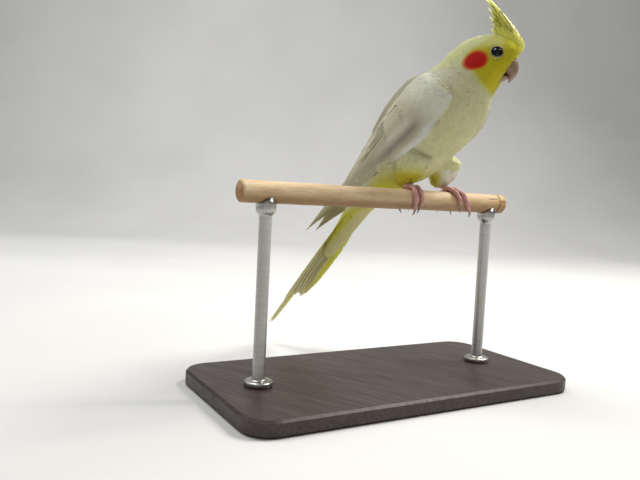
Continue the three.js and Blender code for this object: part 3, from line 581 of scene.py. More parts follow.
# ---------------------------------------------------------------- contour feathers
def scatter(points, radius, order):
    """Points kept so that no two are nearer than their radius."""
    tree = KDTree(len(points))
    for i, p in enumerate(points.tolist()):
        tree.insert(p, i)
    tree.balance()
    dead = np.zeros(len(points), bool)
    keep = []
    for i in order.tolist():
        if dead[i]:
            continue
        keep.append(i)
        for _, j, _ in tree.find_range(points[i].tolist(), float(radius[i])):
            dead[j] = True
    return np.array(keep)


ST = np.array([0.0, 0.34, 0.64, 0.86, 1.0])
SH = np.array([0.5, 0.95, 1.0, 0.74, 0.26])
TOPQ = np.array([-1.0, -0.55, 0.0, 0.55, 1.0])


def contour(name, surface, O, D, L, W, root, tip, colour, bake_at, spread=0.0, mat=None, fray=0.055, lift=None, arch=0.02):
    """Small feathers: O roots, D directions, L lengths, W widths, root and tip heights over the surface."""
    N = len(O)
    _, n0 = surface.at(O)
    D = unit(D - n0 * (D * n0).sum(1, keepdims=True))
    S = np.cross(n0, D)
    turn_by = rng.normal(0, spread, N)[:, None]
    D, S = D * np.cos(turn_by) + S * np.sin(turn_by), S * np.cos(turn_by) - D * np.sin(turn_by)
    half = W[:, None] / 2 * SH[None] * (1 + rng.normal(0, 0.05, (N, 5)))
    q = np.array([-1.0, 0.0, 1.0])
    along = L[:, None, None] * (ST[None, :, None] - 0.06 * np.abs(q)[None, None] * (ST[None, :, None] > 0.8))
    across = half[:, :, None] * q[None, None]
    target = O[:, None, None] + along[..., None] * D[:, None, None] + across[..., None] * S[:, None, None]
    loc, nn = surface.at(target)
    bend = (nn * nn[:, :1, 1:2]).sum(-1).min((1, 2))
    jump = np.linalg.norm(np.diff(loc[:, :, 1], axis=1), axis=-1).max(1) / (0.36 * L)
    fine = (bend > -0.5) & (jump < 2.2)
    O, D, S, L, W, root, tip, bake_at, half, loc, nn, N = O[fine], D[fine], S[fine], L[fine], W[fine], root[fine], tip[fine], bake_at[fine], half[fine], loc[fine], nn[fine], int(fine.sum())
    lift = None if lift is None else lift[fine]
    s = ST[None, :, None]
    h = root[:, None, None] + (tip - root)[:, None, None] * (1 - (1 - s) ** 2)
    if lift is not None:
        h = h + lift[:, None, None] * s**3
    h = h + arch * W[:, None, None] * (1 - np.abs(q))[None, None] * np.array([0.2, 0.6, 1.0, 0.9, 0.6])[None, :, None]
    T = loc + nn * h[..., None]
    tl, tr = (T[:, :, 0] * 0.55 + T[:, :, 1] * 0.45), (T[:, :, 2] * 0.55 + T[:, :, 1] * 0.45)
    up = nn[:, :, 1]
    tl = tl + up * (0.02 * W[:, None])[..., None]
    tr = tr + up * (0.02 * W[:, None])[..., None]
    thick = (0.04 + 0.05 * W[:, None]) * np.array([1.0, 1.0, 0.9, 0.6, 0.25])[None]
    bottom = T[:, :, 1] - up * thick[..., None]
    P = np.stack([T[:, :, 0], tl, T[:, :, 1], tr, T[:, :, 2], bottom], 2)
    # a frayed end
    jit = rng.normal(0, fray, (N, 5)) * L[:, None]
    P[:, -1, :5] += jit[..., None] * D[:, None]
    P[:, -1, 5] += (jit.min(1) - 0.06 * L)[:, None] * D
    col = colour(P)
    shade = 1 + rng.normal(0, 0.028, N)[:, None, None, None]
    # vane edges a little lighter, as the feather's own tone; the underside point darker, painted shade under the
    # feather
    edge = np.array([0.015, 0.0, -0.01, 0.0, 0.015, -0.03])[None, None, :, None]
    # painted shade: darker towards the root, which lies under the tips of the feathers above it
    root_shade = (np.array([-0.07, -0.04, -0.01, 0.0, 0.02]))[None, :, None, None]
    col = np.clip(col * shade * (1 + edge + root_shade), 0, 1)
    qq = np.array([-1, -0.55, 0, 0.55, 1, 0.0])
    vane = np.stack([np.broadcast_to((half[:, :, None] * qq), (N, 5, 6)), np.broadcast_to((L[:, None] * ST)[:, :, None], (N, 5, 6))], -1)
    patch = np.stack([np.broadcast_to(qq * 0.0015, (N, 5, 6)), np.broadcast_to(((ST - 0.5) * 0.003)[None, :, None], (N, 5, 6))], -1)
    bake = bake_at[:, None, None] * 0.99 + 0.004 + patch
    soft = np.broadcast_to(nn[:, :, 1][:, :, None], P.shape)
    return weave(name, P, col, bake, vane, mat or DOWN_MAT, normals=soft)


def colour_of(P):
    st = unturn(P)
    s = (st[..., 0] - 16) * -0.66 + (st[..., 2] - 68) * -0.751
    v = (st[..., 0] - 16) * -0.751 + (st[..., 2] - 68) * 0.66
    vT, vB, yT, yM, *_ = wing_row(s)
    at_wing = smooth((s + 5) / 7) * (s < 60) * smooth((v - vB + 1) / 2) * smooth((np.abs(st[..., 1]) - 15) / 3)
    return mix(markings(st), wing_colour(s, np.clip((v - vB) / np.maximum(vT - vB, 1), 0, 1)), at_wing)


pieces = []
count = 150000
t = rng.uniform(0, 24, count)
a = rng.uniform(0, 2 * np.pi, count)
e = 1e-3
p0 = turn(body_point(t, a))
pt = (turn(body_point(np.minimum(t + e, 24), a)) - turn(body_point(np.minimum(t + e, 24) - 2 * e, a))) / (2 * e)
pa = (turn(body_point(t, a + e)) - turn(body_point(t, a - e))) / (2 * e)
area = np.linalg.norm(np.cross(pt, pa), axis=1)
straight = unturn(p0)
sx, sy, sz = straight.T
eye_gap = np.hypot(sx - 37.2, sz - 97.6)
v = (sx - 16) * -0.751 + (sz - 68) * 0.66
s = (sx - 16) * -0.66 + (sz - 68) * -0.751
vT, vB, *_ = wing_row(s)
under_wing = (s > 4) & (s < 150) & (v > vB + 5) & (v < vT - 5)
radius = np.interp(t, [0, 2, 6, 9, 12, 16, 20, 24], [0.72, 0.85, 1.1, 1.4, 1.8, 2.0, 2.0, 2.0])
radius = np.minimum(radius, 0.62 + 0.05 * np.maximum(eye_gap - 3, 0) + 5 * (np.abs(sy) < 6))
keep = rng.random(count) < area / np.percentile(area, 99.5) * np.clip((2.0 / radius) ** 2 / 4, 0.25, 1)
keep &= ~under_wing & ~((eye_gap < 5.15) & (np.abs(sy) > 7))
sel = np.flatnonzero(keep)
order = rng.permutation(len(sel))
kept = sel[scatter(p0[sel], radius[sel], order)]
kept = kept[np.argsort(t[kept])]
r = radius[kept]
L = r * 3.9 * rng.uniform(0.88, 1.12, len(kept))
L = np.where(t[kept] > 18, L * 1.5, L)
W = r * 2.5 * rng.uniform(0.9, 1.1, len(kept))
coat = np.interp(t[kept], [0, 4, 9, 13, 24], [0.45, 0.48, 0.55, 0.62, 0.6])
D = pt[kept].copy()
bake_body = np.stack([a[kept] / (2 * np.pi), t[kept] / 24], -1)
tips = 0.06 + rng.uniform(-0.05, 0.08, len(kept)) * r
radial = p0[kept] - turn(np.array([37.2, 0, 97.6]) + np.abs(straight[kept, 1:2]) * np.array([0, 1, 0]) * np.sign(straight[kept, 1:2]))
radial = unit(radial)
near_eye = smooth((9.0 - eye_gap[kept]) / 4.5) * (np.abs(sy[kept]) > 7)
D = unit(D) + radial * (0.9 * near_eye)[:, None]
tip_at = unturn(p0[kept] + unit(D) * L[:, None])
tip_gap = np.hypot(tip_at[:, 0] - 37.2, tip_at[:, 2] - 97.6)
L = np.where((tip_gap < 4.8) & (near_eye > 0), np.maximum(eye_gap[kept] - 4.5, 0.8), L)
ks, kv, ky = s[kept], v[kept], np.abs(sy[kept])
front = (ks > -17) & (ks < 8) & (ky > 8) & (kv < 40)
wing_dir = turn(p0[kept] + np.array([-0.66, 0, -0.751])) - turn(p0[kept])
D = np.where(front[:, None], unit(D) * 0.6 + unit(wing_dir) * 0.6, D)
L = np.where(front, L * 1.3, L)
tips = np.where(front, tips + 0.5 * smooth((ks + 16) / 8), tips)
over_leg = (sz[kept] < 48) & (sx[kept] > -34) & (ky > 2)
soft = front | over_leg
for label, m, surf in (("coat_body", ~soft, body_surface), ("coat_flank", soft, outline)):
    O = surf.at(p0[kept][m])[0]
    pieces += contour(label, surf, O, D[m], L[m], W[m], -coat[m], tips[m], colour_of, bake_body[m], spread=0.1)
print("body feathers", len(kept))

# ---------------------------------------------------------------- thighs
def leg_colour(side):
    def f(P):
        z = P[..., 2]
        c = mix(np.broadcast_to(VENT, P.shape), lin(204, 188, 34), smooth((22 - z) / 8) * 0.8)
        c = mix(c, CREAM, smooth((z - 16) / 9))
        if side == "left":
            # painted light: the left thigh's front-right side is whitened where the light falls on it
            front = smooth((P[..., 0] * 0.8 + P[..., 1] * 0.6 - 0.5) / 8)
            c = mix(c, lin(244, 243, 228), front * 0.95)
        return c

    return f


skin_parts = []
for side in ("right", "left"):
    tt, aa = np.meshgrid(np.linspace(0, 6, 30), np.linspace(0, 2 * np.pi, 48, endpoint=False), indexing="ij")
    skin_parts.append(thigh_point(side, tt, aa, -0.45))
    n = 9000
    t1, a1 = rng.uniform(1.2, 5.7, n), rng.uniform(0, 2 * np.pi, n)
    q0 = thigh_point(side, t1, a1)
    dt = thigh_point(side, t1 + 0.01, a1) - thigh_point(side, t1 - 0.01, a1)
    q_body, n_body = body_surface.at(q0)
    outside = ((q0 - q_body) * n_body).sum(1) > -1.5
    ids = np.flatnonzero(outside)
    k = ids[scatter(q0[ids], np.full(len(ids), 1.1), rng.permutation(len(ids)))]
    m = len(k)
    pieces += contour(
        f"coat_thigh_{side}", outline, outline.at(q0[k])[0], dt[k] + np.array([0, 0, -0.02]), rng.uniform(5.5, 8.5, m) * np.interp(t1[k], [0, 4, 5.6], [1, 0.8, 0.5]),
        rng.uniform(2.4, 3.4, m), np.full(m, -0.6), rng.uniform(0.1, 0.5, m) + (0.5 * rng.random(m) if side == "left" else 0.0), leg_colour(side),
        np.stack([a1[k] / (2 * np.pi), t1[k] / 6], -1), spread=0.28, fray=0.08, lift=rng.uniform(0, 0.5, m),
    )

# ---------------------------------------------------------------- long feathers
LK = 26
lk = np.linspace(0, 1, LK)
lk = lk**0.9
RING_Q = np.array([-1, -0.72, -0.4, -0.09, 0, 0.09, 0.4, 0.72, 1, 0.55, 0.09, 0, -0.09, -0.55])
TOP = 9
UPPER = np.array([0.0, 0.10, 0.14, 0.12, 0.34, 0.12, 0.14, 0.10, 0.0])
LOWER = np.array([-0.12, -0.14, -0.32, -0.14, -0.12])
RING_H = np.concatenate([UPPER, LOWER])


def vane_shape(k, blunt=0.72, root=0.42):
    w = lerp(root, 1.0, smooth(k * 3.2))
    return w * np.where(k < blunt, 1.0, np.sqrt(np.clip(1 - ((k - blunt) / (1 - blunt)) ** 2, 0.01, 1)))


def wing_feathers(name, side, s0, c0, s1, c1, width, h0, h1, hfun=None, blunt=0.72, bend=0.0, tone=0.0, seed=0, thick=1.0, edge=0.05):
    """Long feathers on the wing's surface, each with a centre line from (s0, c0) to (s1, c1)."""
    s0, c0, s1, c1, width, h0, h1, tone = (np.broadcast_to(np.asarray(v, float), np.shape(s0)) for v in (s0, c0, s1, c1, width, h0, h1, tone))
    N = len(s0)
    g = np.random.default_rng(100 + seed)
    k = lk[None, :, None]
    s = s0[:, None, None] + (s1 - s0)[:, None, None] * k
    c = c0[:, None, None] + (c1 - c0)[:, None, None] * k + bend * (k * (1 - k))
    vT, vB, *_ = wing_row(s)
    span = np.maximum(vT - vB, 1.0)
    half = width[:, None, None] / 2 * vane_shape(k, blunt)
    rag = 1 + g.normal(0, 0.035, (N, LK, 1)) - 0.22 * (g.random((N, LK, 1)) < 0.06)
    q = RING_Q[None, None, :]
    off = q * half * np.where(np.abs(q) > 0.9, rag, 1.0)
    cc = c + off / span
    ss = s - 0.35 * np.abs(off) * (k > 0.02)
    cc = np.clip(cc, -0.015, 1.02)
    cc = cc + 0.085 * smooth((cc - 0.55) / 0.45) * smooth((ss - 1) / 16) * (1 - smooth((ss - 60) / 60))
    h = h0[:, None, None] + (h1 - h0)[:, None, None] * k**0.8
    if hfun is not None:
        h = h + hfun(s)
    h = h + (RING_H * thick)[None, None] * lerp(1.0, 0.35, k) - 0.18 * (q * q) * np.minimum(1, half / 3)
    P, _ = wing_at(ss, cc, side, h)
    col = wing_colour(ss, np.clip(cc, 0, 1))
    # lighter edges and a darker shaft are the feather's own tone; darker towards the root is painted shade under the
    # overlapping feathers
    f = 1 + tone[:, None, None] + g.normal(0, 0.015, N)[:, None, None] + edge * (np.abs(q) ** 3) - 0.05 * (1 - k) - 0.10 * (np.abs(q) < 0.05)
    # painted shade: the underside ring points (from TOP on) are made darker
    f = np.where(np.arange(14)[None, None] >= TOP, f * 0.86, f)
    col = np.clip(col * f[..., None], 0, 1)
    vane = np.stack([np.broadcast_to(off, ss.shape), np.broadcast_to(k * (s1 - s0)[:, None, None], ss.shape)], -1)
    i = (np.arange(N) + 0.5)[:, None, None] / N
    bake = np.stack([np.broadcast_to(i + q * 0.45 / N, ss.shape), np.broadcast_to(0.01 + 0.98 * k, ss.shape)], -1)
    return weave(name, P, col, bake, vane, FLIGHT_MAT)


wing_skins = []
for side, sg in (("right", -1), ("left", 1)):
    sd = 0 if sg < 0 else 50
    j = np.arange(9)
    pieces += wing_feathers(
        f"primaries_{side}", sg, 34 + 1.0 * j, 0.10 + 0.05 * j, np.array([147, 155, 158.3, 156.5, 152.5, 147.5, 142, 136, 130.0]),
        np.array([0.30, 0.42, 0.5, 0.55, 0.6, 0.62, 0.66, 0.68, 0.7]), 9.5, -2.3 + 0.11 * j, -2.3 + 0.11 * j,
        hfun=lambda s: 1.5 * smooth((s - 96) / 42), blunt=0.74, tone=-0.01 * (j % 2), seed=sd + 1,
    )
    j = np.arange(10)
    pieces += wing_feathers(
        f"secondaries_{side}", sg, 26 - 1.0 * j, 0.22 + 0.055 * j, 121 - 3.3 * j, 0.20 + 0.07 * j, 11.5, -1.25 + 0.075 * j, -1.25 + 0.075 * j,
        hfun=lambda s: 0.55 * smooth((s - 60) / 50), blunt=0.84, tone=0.01 * (j % 2), seed=sd + 2,
    )
    j = np.arange(4)
    pieces += wing_feathers(
        f"tertials_{side}", sg, 12 - 1.5 * j, 0.70 + 0.07 * j, np.array([94, 86, 76, 65.0]), np.array([0.78, 0.83, 0.88, 0.92]), 14.0,
        -0.55 + 0.14 * j, -0.35 + 0.16 * j, blunt=0.8, tone=0.012 * j, seed=sd + 3,
    )
    j = np.arange(7)
    pieces += wing_feathers(
        f"primary_coverts_{side}", sg, 9 + 1.0 * j, 0.0 + 0.034 * j, 63 - 2.6 * j, 0.05 + 0.035 * j, 5.4, -0.9 + 0.05 * j, -0.15 + 0.05 * j,
        blunt=0.7, tone=0.03 - 0.012 * j, seed=sd + 4,
    )
    j = np.arange(13)
    c = 0.16 + 0.062 * j
    pieces += wing_feathers(
        f"greater_coverts_{side}", sg, 14 - 3 * (c - 0.2), c - 0.02, 52 - 10 * (c - 0.2), c + 0.02, 8.0, -0.75 + 0.03 * j, 0.02 + 0.03 * j,
        blunt=0.66, tone=0.015 * np.sin(j * 2.1), seed=sd + 5,
    )
    j = np.arange(14)
    c = 0.10 + 0.064 * j
    pieces += wing_feathers(
        f"median_coverts_{side}", sg, 8 + 0 * c, c, 34 - 6 * (c - 0.2), c + 0.01, 7.6, -0.7 + 0.02 * j, 0.25 + 0.02 * j,
        blunt=0.6, tone=0.012 * np.sin(j * 1.7 + 1), seed=sd + 6,
    )
    for rowi, (at_s, at_c) in enumerate(((26, 0.92), (12, 0.90), (2, 0.86))):
        j = np.arange(5)
        c = at_c - 0.03 + 0.034 * j
        pieces += wing_feathers(
            f"scapulars_{side}_{rowi + 1}", sg, at_s + 1.2 * j, np.minimum(c + 0.02, 1.0), at_s + 30 + 1.5 * j, np.minimum(c - 0.03, 0.98), 8.4,
            0.0 + 0.12 * rowi + 0.03 * j, 0.45 + 0.12 * rowi + 0.03 * j, blunt=0.6, tone=0.02, seed=sd + 7 + rowi,
        )
    # small feathers over the shoulder
    n = 9000
    s1, c1 = rng.uniform(-3.0, 24, n), rng.uniform(0.0, 1.0, n)
    P1, N1 = wing_at(s1, c1, sg)
    vT, vB, *_ = wing_row(s1)
    ok = rng.random(n) < (vT - vB) / 45
    ids = np.flatnonzero(ok)
    k = ids[scatter(P1[ids], np.full(len(ids), 1.5), rng.permutation(len(ids)))]
    k = k[np.argsort(s1[k])]
    m = len(k)
    gs, gc = np.meshgrid(np.linspace(-4.4, 60, 70), np.linspace(-0.02, 1.02, 60), indexing="ij")
    G, GN = wing_at(gs, gc, sg)
    quads = grid_faces(70, 60, wrap=False)
    wsurf = Surface(G.reshape(-1, 3), quads)
    wsurf.vn = GN.reshape(-1, 3)
    Pa, _ = wing_at(s1[k] + 1, c1[k], sg)
    Pb, _ = wing_at(s1[k] - 1, c1[k], sg)

    def shoulder_colour(P, sg=sg):
        st = unturn(P)
        s = (st[..., 0] - 16) * -0.66 + (st[..., 2] - 68) * -0.751
        v = (st[..., 0] - 16) * -0.751 + (st[..., 2] - 68) * 0.66
        vT, vB, *_ = wing_row(s)
        return wing_colour(s, np.clip((v - vB) / np.maximum(vT - vB, 1), 0, 1))

    pieces += contour(
        f"coat_shoulder_{side}", wsurf, P1[k], Pa - Pb, rng.uniform(5.5, 7.5, m), rng.uniform(3.2, 4.2, m), np.full(m, -0.45), 0.22 + 0.3 * smooth(s1[k] / 10) + rng.uniform(0, 0.15, m),
        shoulder_colour, np.stack([c1[k], (s1[k] + 5) / 30], -1), spread=0.12, fray=0.05,
    )
    # the flesh of the wing, for the skin
    ss = np.linspace(-3.2, 96, 60)
    outer, inner = [], []
    for c in np.linspace(0.03, 0.97, 26):
        th = wing_row(ss)[5]
        outer.append(wing_at(ss, np.full(60, c), sg, -0.45 - 0.75 * smooth((ss - 6) / 10) - 1.1 * smooth((ss - 20) / 30))[0])
        inner.append(wing_at(ss, np.full(60, c), sg, -1.3 - 1.1 * smooth((ss - 20) / 30) - 0.55 * th)[0])
    wing_skins.append(np.stack(outer + inner[::-1], 1))

# ---------------------------------------------------------------- tail
TR, TT = np.array([-62.5, 0, 2.0]), np.array([-150.2, 0, -111.1])
TD = unit(TT - TR)
TDN = np.array([-TD[2], 0, TD[0]])
TL = float(np.linalg.norm(TT - TR))
roof = lambda y: 0.36 * (np.sqrt(y * y + 6.25) - 2.5)
TAIL = [(1.0, 1.7, 7.2), (0.76, 5.0, 9.2), (0.75, 8.0, 9.4), (0.765, 10.6, 9.0), (0.735, 12.4, 8.6), (0.7, 13.4, 8.2)]
TAIL_PALE, TAIL_YELLOW, TAIL_SHAFT = lin(226, 218, 166), lin(226, 222, 48), lin(150, 140, 92)
Ps, cols, vanes = [], [], []
TK = 44
k = np.linspace(0.05, 1, TK) ** 0.92
g = np.random.default_rng(5)
for i, (length, at, width) in enumerate(TAIL):
    for sg in (1, -1):
        along = (k * length * TL)[:, None]
        mid = at * (0.6 + 0.4 * smooth(k * 1.6))[:, None]
        half = width / 2 * (0.62 + 0.38 * smooth(k * 3)) * np.where(k < 0.7, 1, np.sqrt(np.clip(1 - ((k - 0.7) / 0.3) ** 2, 0.004, 1)))
        rag = 1 + g.normal(0, 0.02, TK) - 0.16 * (g.random(TK) < 0.05)
        q = RING_Q[None]
        off = q * half[:, None] * np.where(np.abs(q) > 0.9, rag[:, None], 1.0)
        y = sg * mid + off - sg * 0.12 * half[:, None]
        al = along - 0.5 * np.abs(off)
        up = RING_H[None] * 1.15 * lerp(1.0, 0.4, k)[:, None]
        drop = roof(y) + 0.26 * i - up - 0.10 * (1 - np.abs(q)) + 0.05 * g.normal()
        P = TR + TD * al[..., None] + TDN * drop[..., None]
        P[..., 1] += y
        out = q * sg
        c = mix(np.broadcast_to(TAIL_PALE, P.shape), TAIL_YELLOW, smooth((out - (-0.7 if i > 3 else 0.3 if i > 0 else 0.3)) / 0.4) * np.ones_like(al))
        c = mix(c, TAIL_YELLOW, smooth((0.22 - k) / 0.2)[:, None] * 0.7 * np.ones_like(al))
        c = mix(c, lin(206, 200, 150), smooth((k - 0.8) / 0.2)[:, None] * 0.5 * np.ones_like(al))
        c = mix(c, TAIL_SHAFT, np.where(np.abs(q) < 0.05, 0.9 if i in (0, 4) else 0.4, np.where(np.abs(q) < 0.1, 0.3 if i in (0, 4) else 0.1, 0.0)) * np.ones_like(al))
        bars = 0.5 + 0.5 * np.sin(al * 1.15 + 1.3 * np.abs(off))
        c = c * (1 - 0.05 * bars * (out < 0.1))[..., None] * (1 + 0.05 * (np.abs(q) > 0.9))[..., None]
        Ps.append(P)
        cols.append(np.clip(c, 0, 1))
        vanes.append(np.stack([off, al], -1))
P = np.stack(Ps)
n = len(P)
bake = np.stack([np.broadcast_to((np.arange(n) + 0.5)[:, None, None] / n + RING_Q * 0.45 / n, P.shape[:3]), np.broadcast_to((0.01 + 0.98 * k)[None, :, None], P.shape[:3])], -1)
tail = weave("tail_feathers", P, np.stack(cols), bake, np.stack(vanes), FLIGHT_MAT)
pieces += tail


# ---------------------------------------------------------------- crest
CREST = [
    [51.4, 104.6, 46.4, 117.2, 24.4, 141.6, 0.0, 0.0, 1.9], [51, 104.8, 46.2, 116.4, 26.4, 138, 1.8, 1.0, 1.9],
    [51, 104.8, 46, 116, 27.4, 135.8, -1.8, -1.2, 1.9], [49.6, 106.6, 44.6, 115.8, 28.8, 131.6, 0.6, 1.6, 1.9],
    [49.4, 106.6, 43.8, 115.4, 29.8, 129, -1.6, -1.8, 1.9], [47.6, 108, 42, 115, 30.2, 126, 2.4, 2.2, 1.8],
    [47.4, 108, 41.4, 114.6, 30.2, 123.2, -2.4, -2.2, 1.8], [45, 109.4, 39.6, 114.4, 31.4, 120.4, 0.4, 0.6, 1.9],
    [42.4, 110.4, 37.4, 113.6, 31.8, 117.2, -1.4, -1.4, 1.8], [42.2, 110.4, 37.4, 113.4, 32, 116.4, 1.6, 1.6, 1.8],
]
LUMP = [
    [53.2, 100.6, 50.0, 99.6, 2.6], [54.0, 103.6, 48.4, 102.0, 5.0], [53.4, 107.4, 45.8, 104.0, 6.2], [51.0, 111.4, 41.6, 107.0, 6.2],
    [47.8, 114.8, 38.0, 109.6, 5.2], [44.0, 118.6, 35.8, 111.6, 3.9], [39.6, 122.6, 34.2, 114.4, 2.6], [34.8, 126.4, 32.6, 118.4, 1.2],
]


def bill_point(table, t, a, grow=0.0, flat=0.55):
    tx, tz, bx, bz, w = np.moveaxis(rows(table, t), -1, 0)
    half = np.maximum(np.hypot(tx - bx, tz - bz) / 2, 1e-6)
    ux, uz = (tx - bx) / (2 * half), (tz - bz) / (2 * half)
    c, s = np.cos(a), np.sin(a)
    wide = (w + grow) * s * (1 - (1 - flat) * 0.45 * np.maximum(0, c))
    return np.stack([(tx + bx) / 2 + ux * (half + grow) * c, wide, (tz + bz) / 2 + uz * (half + grow) * c], -1)


rows_c = []
g = np.random.default_rng(21)
for i, r0 in enumerate(CREST):
    rows_c.append(r0)
for i in range(58):
    m = g.uniform(0, 1)
    base = np.array(CREST[min(9, int(m * 10))], float)
    base[:6] += g.normal(0, 0.9, 6)
    cut = g.uniform(0.45, 0.95)
    base[4], base[5] = lerp(base[2], base[4], cut), lerp(base[3], base[5], cut)
    base[6] = g.uniform(-4.4, 4.4)
    base[7] = base[6] * 0.7 + g.normal(0, 0.8)
    base[8] = g.uniform(1.5, 2.3)
    rows_c.append(base)
rc = np.array(rows_c, float)
CK = 26
k = np.linspace(0, 1, CK)
N = len(rc)
A = np.stack([rc[:, 0], rc[:, 6], rc[:, 1]], -1)[:, None]
B = np.stack([rc[:, 2], (rc[:, 6] + rc[:, 7]) / 2, rc[:, 3]], -1)[:, None]
C = np.stack([rc[:, 4], rc[:, 7], rc[:, 5]], -1)[:, None]
kk = k[None, :, None]
centre = A * (1 - kk) ** 2 + 2 * B * kk * (1 - kk) + C * kk**2
tan = unit(2 * (B - A) * (1 - kk) + 2 * (C - B) * kk)
roll = (g.normal(0, 0.2, N) + 1.2 * rc[:, 6] / 4.4)[:, None, None]
sidev = np.array([0, 1.0, 0])
nrm = unit(np.cross(tan, sidev))
sv = unit(sidev * np.cos(roll) + nrm * np.sin(roll))
nrm = unit(np.cross(tan, sv))
half = rc[:, 8][:, None] * np.interp(k, [0, 0.15, 0.4, 0.7, 0.9, 1], [0.6, 0.95, 1.12, 0.95, 0.5, 0.1])[None]
rag = 1 + g.normal(0, 0.07, (N, CK)) - 0.3 * (g.random((N, CK)) < 0.09)
q = RING_Q[None, None]
off = q * half[..., None] * np.where(np.abs(q) > 0.9, rag[..., None], 1.0)
hh = RING_H * 0.8 * lerp(1.0, 0.4, k)[None, :, None] - 0.5 * (q * q) * 0.45 * half[..., None]
P = centre[:, :, None] + sv[:, :, None] * off[..., None] + nrm[:, :, None] * hh[..., None] - tan[:, :, None] * (0.55 * np.abs(off))[..., None]
c = mix(np.broadcast_to(LEMON, P.shape), lin(250, 246, 120), g.uniform(0, 0.7, N)[:, None, None] * np.ones(P.shape[:3]))
c = c * (1 + g.normal(0, 0.03, N)[:, None, None, None] + 0.04 * (np.abs(q) > 0.7)[..., None] - 0.06 * (np.abs(q) < 0.05)[..., None])
vane = np.stack([off, np.broadcast_to(kk * 40, off.shape)], -1)
bake = np.stack([np.broadcast_to((np.arange(N) + 0.5)[:, None, None] / N + q * 0.45 / N, off.shape), np.broadcast_to(0.01 + 0.98 * kk, off.shape)], -1)
crest = weave("crest_feathers", turn(P), np.clip(c, 0, 1), bake, vane, CREST_MAT)
pieces += crest
# short feathers over the forehead lump, growing up into the crest
tt, aa = np.meshgrid(np.linspace(0, 7, 60), np.linspace(0, 2 * np.pi, 60, endpoint=False), indexing="ij")
LM = turn(bill_point(LUMP, tt, aa, 0, 0.8))
lump_surface = Surface(LM.reshape(-1, 3), grid_faces(60, 60))
n = 9000
t1, a1 = rng.uniform(0.1, 4.6, n), rng.uniform(0, 2 * np.pi, n)
q0 = turn(bill_point(LUMP, t1, a1, 0, 0.8))
dt = turn(bill_point(LUMP, t1 + 0.02, a1, 0, 0.8)) - turn(bill_point(LUMP, t1 - 0.02, a1, 0, 0.8))
loc, nn = body_surface.at(q0)
ids = np.flatnonzero(((q0 - loc) * nn).sum(1) > -0.4)
k1 = ids[scatter(q0[ids], np.full(len(ids), 0.9), rng.permutation(len(ids)))]
m = len(k1)


def crest_colour(P):
    return mix(np.broadcast_to(LEMON, P.shape), lin(242, 238, 140), 0.5 + 0.5 * np.sin(P[..., 0] * 3.1 + P[..., 1] * 2.3 + P[..., 2])) if P.ndim else LEMON


pieces += contour(
    "coat_forehead", lump_surface, q0[k1], dt[k1], rng.uniform(3.6, 6.5, m), rng.uniform(1.3, 2.0, m), np.full(m, -0.35), rng.uniform(0.1, 0.5, m),
    crest_colour, np.stack([a1[k1] / (2 * np.pi), t1[k1] / 7], -1), spread=0.15, fray=0.07, lift=rng.uniform(0, 0.7, m),
)

# ---------------------------------------------------------------- skin
coat_t = lambda t, a: -np.interp(t, [0, 4, 9, 13, 24], [0.42, 0.42, 0.45, 0.5, 0.5])
shells = [turn(body_mesh(4, 72, coat_t)), *skin_parts, *wing_skins, turn(bill_point(LUMP, tt, aa, -0.3, 0.8))]
# the bridges over the shoulder's front and the thigh's top, a little inside the outline
ov = unturn(outline.V)
os_, ovv = (ov[:, 0] - 16) * -0.66 + (ov[:, 2] - 68) * -0.751, (ov[:, 0] - 16) * -0.751 + (ov[:, 2] - 68) * 0.66
ovB = wing_row(os_)[1]
in_wing = smooth((os_ - 5) / 8) * smooth((ovv - ovB + 3) / 2) * (os_ < 150)
lower = outline.V - outline.vn * (0.5 + 3.2 * in_wing)[:, None]
me, co = joined(shells, 0.9, 8, extra=(lower, outline_quads))
st = unturn(co)
lo, no = outline.at(co)
out_by = ((co - lo) * no).sum(1)
co = co - no * (np.maximum(out_by + 0.4, 0) * (st[:, 2] < 88) * (st[:, 2] > -20))[:, None]
st = unturn(co)
col = markings(st)
# sunk round the eyes, so that the balls sit in sockets
d_eye = np.hypot(st[:, 0] - 37.2, st[:, 2] - 97.6)
side_of = np.sign(st[:, 1])
sink = (1 - smooth((d_eye - 3.0) / 2.2)) * (np.abs(st[:, 1]) > 6)
st2 = st.copy()
st2[:, 1] -= side_of * 1.1 * sink
co = turn(st2)
me.vertices.foreach_set("co", put(co).ravel())
s = (st[:, 0] - 16) * -0.66 + (st[:, 2] - 68) * -0.751
v = (st[:, 0] - 16) * -0.751 + (st[:, 2] - 68) * 0.66
vT, vB, yT, yM, yB, th = wing_row(s)
_, nb = body_surface.at(co)
lb, _ = body_surface.at(co)
proud = ((co - lb) * nb).sum(1)
col = mix(col, wing_colour(s, np.clip((v - vB) / np.maximum(vT - vB, 1), 0, 1)), smooth((proud + 0.3) / 0.8) * (s > -6) * (s < 110) * (np.abs(co[:, 1]) > 4) * (v > vB - 2) * (st[:, 2] > 12))
col = mix(col, LEMON, smooth((st[:, 0] - 40) / 4) * smooth((st[:, 2] - 103) / 3))
col = mix(col, lin(150, 148, 110), (1 - smooth((d_eye - 3.6) / 1.4)) * (np.abs(st[:, 1]) > 6))
at = me.color_attributes.new("Col", "FLOAT_COLOR", "POINT")
at.data.foreach_set("color", np.concatenate([np.clip(col * 0.93, 0, 1), np.ones((len(col), 1))], 1).astype(np.float32).ravel())
me.polygons.foreach_set("use_smooth", np.ones(len(me.polygons), bool))
me.materials.clear()
me.materials.append(SKIN_MAT)
uv = me.uv_layers.new(name="OFBake")
lv = np.empty(len(me.loops), np.int32)
me.loops.foreach_get("vertex_index", lv)
ang = np.arctan2(co[:, 1], (co[:, 0] - 10) * 0.6 + (co[:, 2] - 60) * 0.5) / (2 * np.pi) + 0.5
uv.data.foreach_set("uv", np.stack([ang, (co[:, 2] + 60) / 200], -1)[lv].astype(np.float32).ravel())
skin = bpy.data.objects.new("skin", me)
scene.collection.objects.link(skin)
pieces.append(skin)
print("skin", len(me.polygons))

# ---------------------------------------------------------------- eyes, with lids
EYE = np.array([37.2, 9.95, 97.6])


